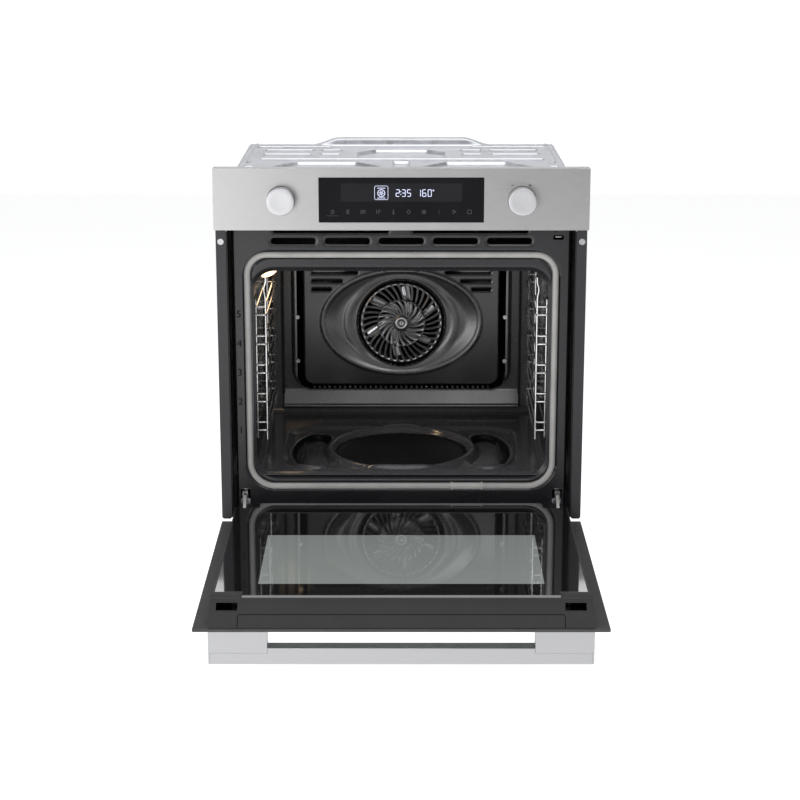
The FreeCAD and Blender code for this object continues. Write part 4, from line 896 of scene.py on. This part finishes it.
def convection_fan():
    """Disc with its hub and shaft in near black as painted shade behind the grille, and six steel blades set
    off from the middle.
    """
    shaft = 3.0
    profile = [(0.05, 430.5), (5.0, 430.5), (5.0, 436.0), (9.0, 436.0), (9.0, 447.5), (68.0, 447.5),
               (68.0, 448.7), (shaft, 448.7), (shaft, 500.0), (0.05, 500.0)]
    lathe("fan_disc", profile, (0.0, FAN_Z), "gap", "convection_fan", ["convection_fan"], "spring_steel")
    blades, width, offset = 6, 13.0, 16.0
    across = np.linspace(-width / 2, width / 2, 7)
    parts = []
    for k in range(blades):
        lean = math.radians(158.0 - 360.0 * k / blades)
        out, aside = (math.cos(lean), math.sin(lean)), (math.sin(lean), -math.cos(lean))
        rows = []
        for face in (0.0, 1.2):
            for along in (14.0, 63.0):
                for t in across:
                    depth = 441.5 + 0.06 * t + 0.020 * t * t + face
                    x, z = (along * out[i] + (offset + t) * aside[i] for i in (0, 1))
                    rows.append((x, depth, FAN_Z + z))
        n = len(across)
        faces = []
        for i in range(n - 1):
            faces += [(i, i + 1, n + i + 1, n + i), (2 * n + i, 3 * n + i, 3 * n + i + 1, 2 * n + i + 1)]
            faces += [(i, 2 * n + i, 2 * n + i + 1, i + 1), (n + i, n + i + 1, 3 * n + i + 1, 3 * n + i)]
        faces += [(0, n, 3 * n, 2 * n), (n - 1, 3 * n - 1, 4 * n - 1, 2 * n - 1)]
        parts.append((rows, faces))
    make_piece("fan_blades", *gather(parts), "fan", "convection_fan", (), "spring_steel", 30.0)


convection_fan()
grille()

# A near-black plate behind the left air slots in the frame: a painted shadow for the dark inside seen through
# them.
shadow_plate = plate([(-212.0, 460.0), (-88.0, 460.0), (-88.0, 534.0), (-212.0, 534.0)], 372.0, 1.0)
make_piece("duct_shadow_plate", *shadow_plate, "duct", "oven", (), "galvanised_sheet")


# --- tray supports

LEVELS = (147.0, 195.8, 244.7, 293.5, 342.6)
GAP = 13.7
POST_X = 239.5


def rack(side, name):
    """Bent chrome wires: two posts and a pair of runners for each level."""
    parts = []
    front, rear = 76.0, 354.0

    def wire(points, corner, radius):
        path = bent([(side * x, depth, z) for x, depth, z in points], corner)
        parts.append(tube_points(path, radius))

    for lower in LEVELS:
        for z, x in ((lower, 221.5), (lower + GAP, 224.0)):
            wire([(POST_X + 1.5, front, z), (x, front, z), (x, rear, z), (POST_X + 1.5, rear, z)], 5.0, 1.8)
    for depth, inward in ((front + 3.6, 1), (rear - 3.6, -1)):
        hook = depth + inward * 12.0
        wire([(POST_X + 2.5, hook, 136.0), (POST_X - 1.0, depth, 130.0), (POST_X - 1.0, depth, 370.0),
              (POST_X + 2.5, hook, 364.0)], 6.0, 1.6)
    climb = [(222.5, 131.0), (222.5, 372.0), (225.5, 386.0), (222.0, 396.0), (222.0, 405.0)]
    wire([(x, front + 2.0, z) for x, z in climb], 5.0, 1.5)
    for z in (158.0, 256.0, 353.0):
        stay = [(side * (POST_X - 1.0), depth, z) for depth in (front + 3.6, 215.0, rear - 3.6)]
        parts.append(tube_points(stay, 1.4))
    make_piece(name + "_wire_rack", *gather(parts), "chrome", "oven", [name + "_side_rack"], "chrome_wire",
               50.0)


rack(1, "right")
rack(-1, "left")


# --- top cover

CASE_TOP = 562.0
CASE_HALF = 279.0


def top_height(x, d):
    trays = [
        (np.abs(x), [(221, 110), (221, 252), (178, 308), (79, 308), (37, 252), (37, 110)]),
        (x, [(-76, 362), (-76, 436), (-45, 468), (45, 468), (76, 436), (76, 362)]),
        (x, [(-13, 230), (-13, 318), (13, 318), (13, 230)])]
    h = np.zeros(x.shape)
    for across, shape in trays:
        h = h - 5.0 * (1 - ease((polygon(across, d, shape) + 3.0) / 6.0))
    ribs = [(126, 262, 505), (157, 244, 459), (106, 143, 459), (159, 244, 404), (107, 143, 404)]
    lines = [box_between(np.abs(x), d, (near, depth - 3.5), (far, depth + 3.5), 3.4)
             for near, far, depth in ribs]
    for line in [*lines, box_between(x, d, (-246.0, 336.5), (248.0, 343.5), 3.4)]:
        h = h + 3.0 * (1 - ease((line + 2.5) / 5.0))
    crease = np.where(d > 300, bead(np.abs(x) - 264.5, 0.8, 2.2), 0.0)
    bridge = box_between(np.abs(x), d, (250.0, 240.0), (267.0, 250.0), 2.0)
    h = h + 1.6 * crease + 3.0 * (1 - ease((bridge + 2.0) / 4.0))
    hump = 13.0 * ease((d - 519.0) / 9.0) * (1 - ease((np.abs(x) - 112.0) / 52.0))
    edge = CASE_HALF - np.abs(x)
    return h + hump - 2.6 * (1 - ease(edge / 3.2)) ** 2 - 1.6 * (1 - ease((d - 62.0) / 3.0))


pressed("top_cover_pressing", np.arange(-279.0, 279.1, 2.0), np.arange(62.0, 546.1, 2.0),
        lambda x, d, h: (x, d, CASE_TOP + h), top_height, "zinc", ["top_cover"], "galvanised_sheet",
        None, 1.1, 50.0)


# --- knobs

def knob(x, name):
    """Turned cap with a faint dish in its face, hollow behind round a boss."""
    radius = 22.0
    face = -20.0
    profile = [(0.02, face + 0.35), (8.0, face + 0.30), (15.0, face + 0.12), (20.2, face),
               (21.1, face + 0.15), (21.7, face + 0.55), (21.95, face + 1.2), (radius, face + 2.0),
               (radius, 1.8), (21.8, 2.6), (21.3, 3.0), (20.2, 3.0), (19.8, 2.4), (19.8, -16.6),
               (19.2, -17.0), (7.2, -17.0), (6.5, -16.4), (6.5, 6.4), (6.0, 7.0), (3.4, 7.0),
               (3.1, 6.7), (3.1, -16.8), (0.02, -17.0)]
    lathe(name + "_knob_cap", profile, (x, 544.0), "knob", name + "_knob", [name + "_knob"],
          "knob_metal", 128, 28.0)


knob(190.0, "right")
knob(-190.0, "left")


# --- display and marks

def bar(x0, z0, x1, z1, width):
    """A stroke between two points as a rectangle outline."""
    dx, dz = x1 - x0, z1 - z0
    length = math.hypot(dx, dz)
    nx, nz = -dz / length * width / 2, dx / length * width / 2
    return [(x0 + nx, z0 + nz), (x0 - nx, z0 - nz), (x1 - nx, z1 - nz), (x1 + nx, z1 + nz)]


def polyline(points, width):
    return [bar(*a, *b, width) for a, b in zip(points, points[1:])]


def ring_strokes(cx, cz, rx, rz, width, count, start=0.0, end=360.0):
    strokes = []
    for k in range(count):
        turns = [math.radians(start + (end - start) * n / count) for n in (k, k + 1)]
        strokes.append([(cx + (rx + s * width / 2) * math.cos(a), cz + (rz + s * width / 2) * math.sin(a))
                        for s, order in ((-1, turns), (1, turns[::-1])) for a in order])
    return strokes


def frame_strokes(cx, cz, half_x, half_z, radius, width):
    """A rounded square drawn as a line."""
    flat_x, flat_z = half_x - radius, half_z - radius
    strokes = [bar(cx - flat_x, cz + s * half_z, cx + flat_x, cz + s * half_z, width) for s in (-1, 1)]
    strokes += [bar(cx + s * half_x, cz - flat_z, cx + s * half_x, cz + flat_z, width) for s in (-1, 1)]
    for sx, sz, start in ((1, 1, 0), (-1, 1, 90), (-1, -1, 180), (1, -1, 270)):
        strokes += ring_strokes(cx + sx * flat_x, cz + sz * flat_z, radius, radius, width, 5, start,
                                start + 90)
    return strokes


SEGMENTS = {"0": "abcdef", "1": "bc", "2": "abged", "3": "abgcd", "5": "afgcd", "6": "afgedc"}


def digit(char, x, z, width, height, stroke):
    """A seven-segment digit with its lower left corner at x, z."""
    half = height / 2
    gap = stroke * 0.28
    left, right, low, top = x + gap, x + width - gap, z + gap, z + height - gap
    lines = {"a": (left, z + height, right, z + height), "g": (left, z + half, right, z + half),
             "d": (left, z, right, z), "e": (x, low, x, z + half - gap), "f": (x, z + half + gap, x, top),
             "b": (x + width, z + half + gap, x + width, top),
             "c": (x + width, low, x + width, z + half - gap)}
    return [bar(*lines[s], stroke) for s in SEGMENTS[char]]


def marks_piece(name, strokes, depth, look, slot="display_glass", thick=0.06):
    parts = [plate(stroke, depth, thick) for stroke in strokes]
    make_piece(name, *gather(parts), look, "oven", (), slot, 30.0)


GLASS_FRONT = 0.14


def display_marks():
    window = [(-95.5, 541.7), (95.5, 541.7), (95.5, 570.6), (-95.5, 570.6)]
    make_piece("display_lit_window", *plate(window, GLASS_FRONT + 0.03, 0.04), "lit_area", "oven", (),
               "display_glass")
    strokes = []
    low, tall, stroke = 550.0, 10.6, 1.0
    for char, x in (("2", -8.3), ("3", 1.0), ("5", 9.4), ("1", 25.0), ("6", 33.4), ("0", 42.0)):
        strokes += digit(char, x, low, 5.2, tall, stroke)
    strokes += [bar(-0.9, low + s, -0.9, low + s + 1.3, 1.3) for s in (2.4, 6.9)]
    strokes += ring_strokes(50.3, low + tall - 1.2, 1.0, 1.0, 0.7, 12)
    centre_x, centre_z = -31.6, 555.7
    strokes += frame_strokes(centre_x, centre_z, 10.6, 10.8, 2.6, 0.6)
    strokes += ring_strokes(centre_x, centre_z - 0.6, 5.6, 5.6, 1.0, 32)
    for k in range(6):
        a = math.radians(60 * k)
        ends = [(centre_x + r * math.cos(t), centre_z - 0.6 + r * math.sin(t))
                for r, t in ((1.1, a), (4.0, a + 0.9))]
        strokes += polyline(ends, 0.9)
    strokes += [bar(centre_x - 6.4, centre_z + s, centre_x + 6.4, centre_z + s, 0.9) for s in (7.4, -8.2)]
    marks_piece("display_readout", strokes, GLASS_FRONT - 0.02, "marks")


def touch_icons():
    """Ten plain marks in a row under the display, each drawn about its own middle."""
    width = 0.7
    spots = [(-108.5 + 24.0 * k, 525.5) for k in range(10)]

    def line(icon, *points, stroke=width):
        x0, z0 = spots[icon]
        return polyline([(x0 + x, z0 + z) for x, z in points], stroke)

    def ring(icon, x, z, rx, rz, count, end=360.0):
        return ring_strokes(spots[icon][0] + x, spots[icon][1] + z, rx, rz, width, count, 0.0, end)

    def square(icon, z, half_x, half_z, radius):
        return frame_strokes(spots[icon][0], spots[icon][1] + z, half_x, half_z, radius, width)

    s = square(0, -0.8, 2.4, 1.9, 0.6) + ring(0, 0, 1.2, 1.5, 1.8, 10, 180.0)
    s += line(0, (-9.5, -6.4), (9.5, -6.4), stroke=0.5)
    for z in (-3.0, 0.0, 3.0):
        s += line(1, (-2.4, z), (2.4, z))
    for icon, x, half in ((1, -1.2, 3.0), (1, 1.2, 3.0), (3, -2.4, 3.2), (3, 0.2, 3.2)):
        s += line(icon, (x, -half), (x, half))
    s += ring(2, -1.4, 0, 2.5, 2.5, 20) + ring(2, 1.9, 0, 2.1, 2.1, 20) + ring(3, 1.7, 1.6, 1.5, 1.5, 12)
    s += line(4, (0, -2.0), (0, 3.4), stroke=1.3) + ring(4, 0, -2.4, 1.3, 1.3, 14)
    s += line(5, (-3.2, 0), (0, 3.2), (3.2, 0), (0, -3.2), (-3.2, 0))
    s += ring(6, 0, 0, 2.9, 2.9, 22) + ring(6, 0, 0, 1.2, 1.2, 12)
    for z in (-2.8, -0.4, 2.0):
        s += line(7, (0, z), (0, z + 0.9), stroke=0.9)
    s += line(8, (-2.2, -3.0), (-2.2, 3.0), (2.8, 0), (-2.2, -3.0))
    s += square(9, 0, 2.9, 2.9, 0.5)
    marks_piece("touch_icons", s, GLASS_FRONT, "dim_marks")


def trim_line():
    """The fine joint round the inset face of the door's top trim."""
    corners = [(-233.0, -458.4, 5.0), (-233.0, -458.0, 6.6), (-233.0, -445.5, 20.6),
               (233.0, -445.5, 20.6), (233.0, -458.0, 6.6), (233.0, -458.4, 5.0)]
    tube = tube_points(bent(corners, 4.0), 0.42, 8)
    make_piece("trim_joint_line", *tube, "gap", "door", (), "trim_plastic")


display_marks()
touch_icons()
trim_line()
plus_minus = [bar(172.6, 567.6, 177.4, 567.6, 0.9), bar(199.6, 567.6, 204.4, 567.6, 0.9),
              bar(202.0, 565.2, 202.0, 570.0, 0.9)]
marks_piece("plus_and_minus", plus_minus, 0.0, "panel_ink", "panel_steel", 0.05)


def level_numbers():
    """Tray level numbers 1 to 5 on the frame beside the seal."""
    shapes = []
    for k, z in enumerate(LEVELS):
        curve = bpy.data.curves.new("level", "FONT")
        assign(curve, body=str(k + 1), size=0.0165, align_x="CENTER", align_y="CENTER", extrude=0.00004)
        text = add("level", curve)
        text.rotation_euler = (math.radians(90), 0, 0)
        text.location = metres(-264.0, 49.7, z + GAP / 2)
        bpy.context.view_layer.update()
        mesh = bpy.data.meshes.new_from_object(text)
        mesh.transform(text.matrix_world)
        shapes.append(([tuple(v.co) for v in mesh.vertices], [tuple(f.vertices) for f in mesh.polygons]))
        bpy.data.objects.remove(text)
    verts, faces = gather(shapes)
    back = [(x * 1000.0, y * 1000.0 - PANEL_Y, z * 1000.0) for x, y, z in verts]
    make_piece("level_numbers", back, faces, "ink", "oven", (), "frame_enamel")


level_numbers()


# --- stage, lights, camera

def stage():
    mesh = bpy.data.meshes.new("floor")
    size, front, level = 6.0, -5.2, -0.42
    mesh.from_pydata([(-size, front, level), (size, front, level), (size, size, level), (-size, size, level)],
                     [], [(0, 1, 2, 3)])
    look = Look("pale_floor", (0.9, 0.9, 0.9), 0.9)
    look.tint(look.noise(0.6), spread((0.9, 0.9, 0.9), 0.01))
    look.set("Emission Color", (1.0, 1.0, 1.0, 1.0))
    look.set("Emission Strength", 0.62)
    mesh.materials.append(look.mat)
    floor = add("floor", mesh)


def area_light(name, place, target, size, power):
    data = bpy.data.lights.new(name, "AREA")
    assign(data, shape="RECTANGLE", size=size[0], size_y=size[1], energy=power)
    turn = (Vector(target) - Vector(place)).to_track_quat("-Z", "Y").to_euler()
    assign(add(name, data), location=place, visible_camera=False, rotation_euler=turn)


def lights():
    area_light("key_left", (-1.5, -3.6, 0.15), (-0.1, -0.3, 0.4), (1.5, 1.3), 19)
    area_light("side_left", (-2.6, -1.6, 1.6), (0, -0.2, 0.3), (1.4, 1.8), 22)
    area_light("overhead", (0, 0.3, 2.6), (0, 0.1, 0.3), (2.2, 2.0), 26)
    area_light("front_fill", (0.5, -3.3, 1.9), (0, 0.1, 0.2), (1.3, 0.9), 15)
    area_light("rear_top", (0, 2.6, 1.5), (0, 0, 0.5), (2.4, 0.5), 6)
    glow = bpy.data.lights.new("oven_lamp", "POINT")
    assign(glow, energy=0.05, color=(1.0, 0.66, 0.36), shadow_soft_size=0.02)
    add("oven_lamp", glow).location = metres(-203.0, 300.0, 380.0)


def world():
    """White to the camera, a softer grey for light and reflections."""
    scene_world = bpy.data.worlds.new("studio")
    bpy.context.scene.world = scene_world
    scene_world.use_nodes = True
    nodes, links = scene_world.node_tree.nodes, scene_world.node_tree.links
    nodes.clear()
    out = nodes.new("ShaderNodeOutputWorld")
    mix = nodes.new("ShaderNodeMixShader")
    path = nodes.new("ShaderNodeLightPath")
    for socket, color, strength in ((1, (0.97, 0.98, 1.0, 1), 0.38), (2, (1, 1, 1, 1), 1.05)):
        light = nodes.new("ShaderNodeBackground")
        light.inputs["Color"].default_value = color
        light.inputs["Strength"].default_value = strength
        links.new(light.outputs["Background"], mix.inputs[socket])
    links.new(path.outputs["Is Camera Ray"], mix.inputs["Fac"])
    links.new(mix.outputs["Shader"], out.inputs["Surface"])


def camera():
    data = bpy.data.cameras.new("camera")
    assign(data, lens=88.18, sensor_width=36.0, clip_start=0.1)
    tilt, yaw = math.radians(90.0 - 14.76), math.radians(0.04)
    cam = assign(add("camera", data), location=(0.0, -3.3615, 1.0257), rotation_euler=(tilt, 0.0, yaw))
    bpy.context.scene.camera = cam


stage()
lights()
world()
camera()
bpy.context.scene.view_settings.view_transform = "Standard"
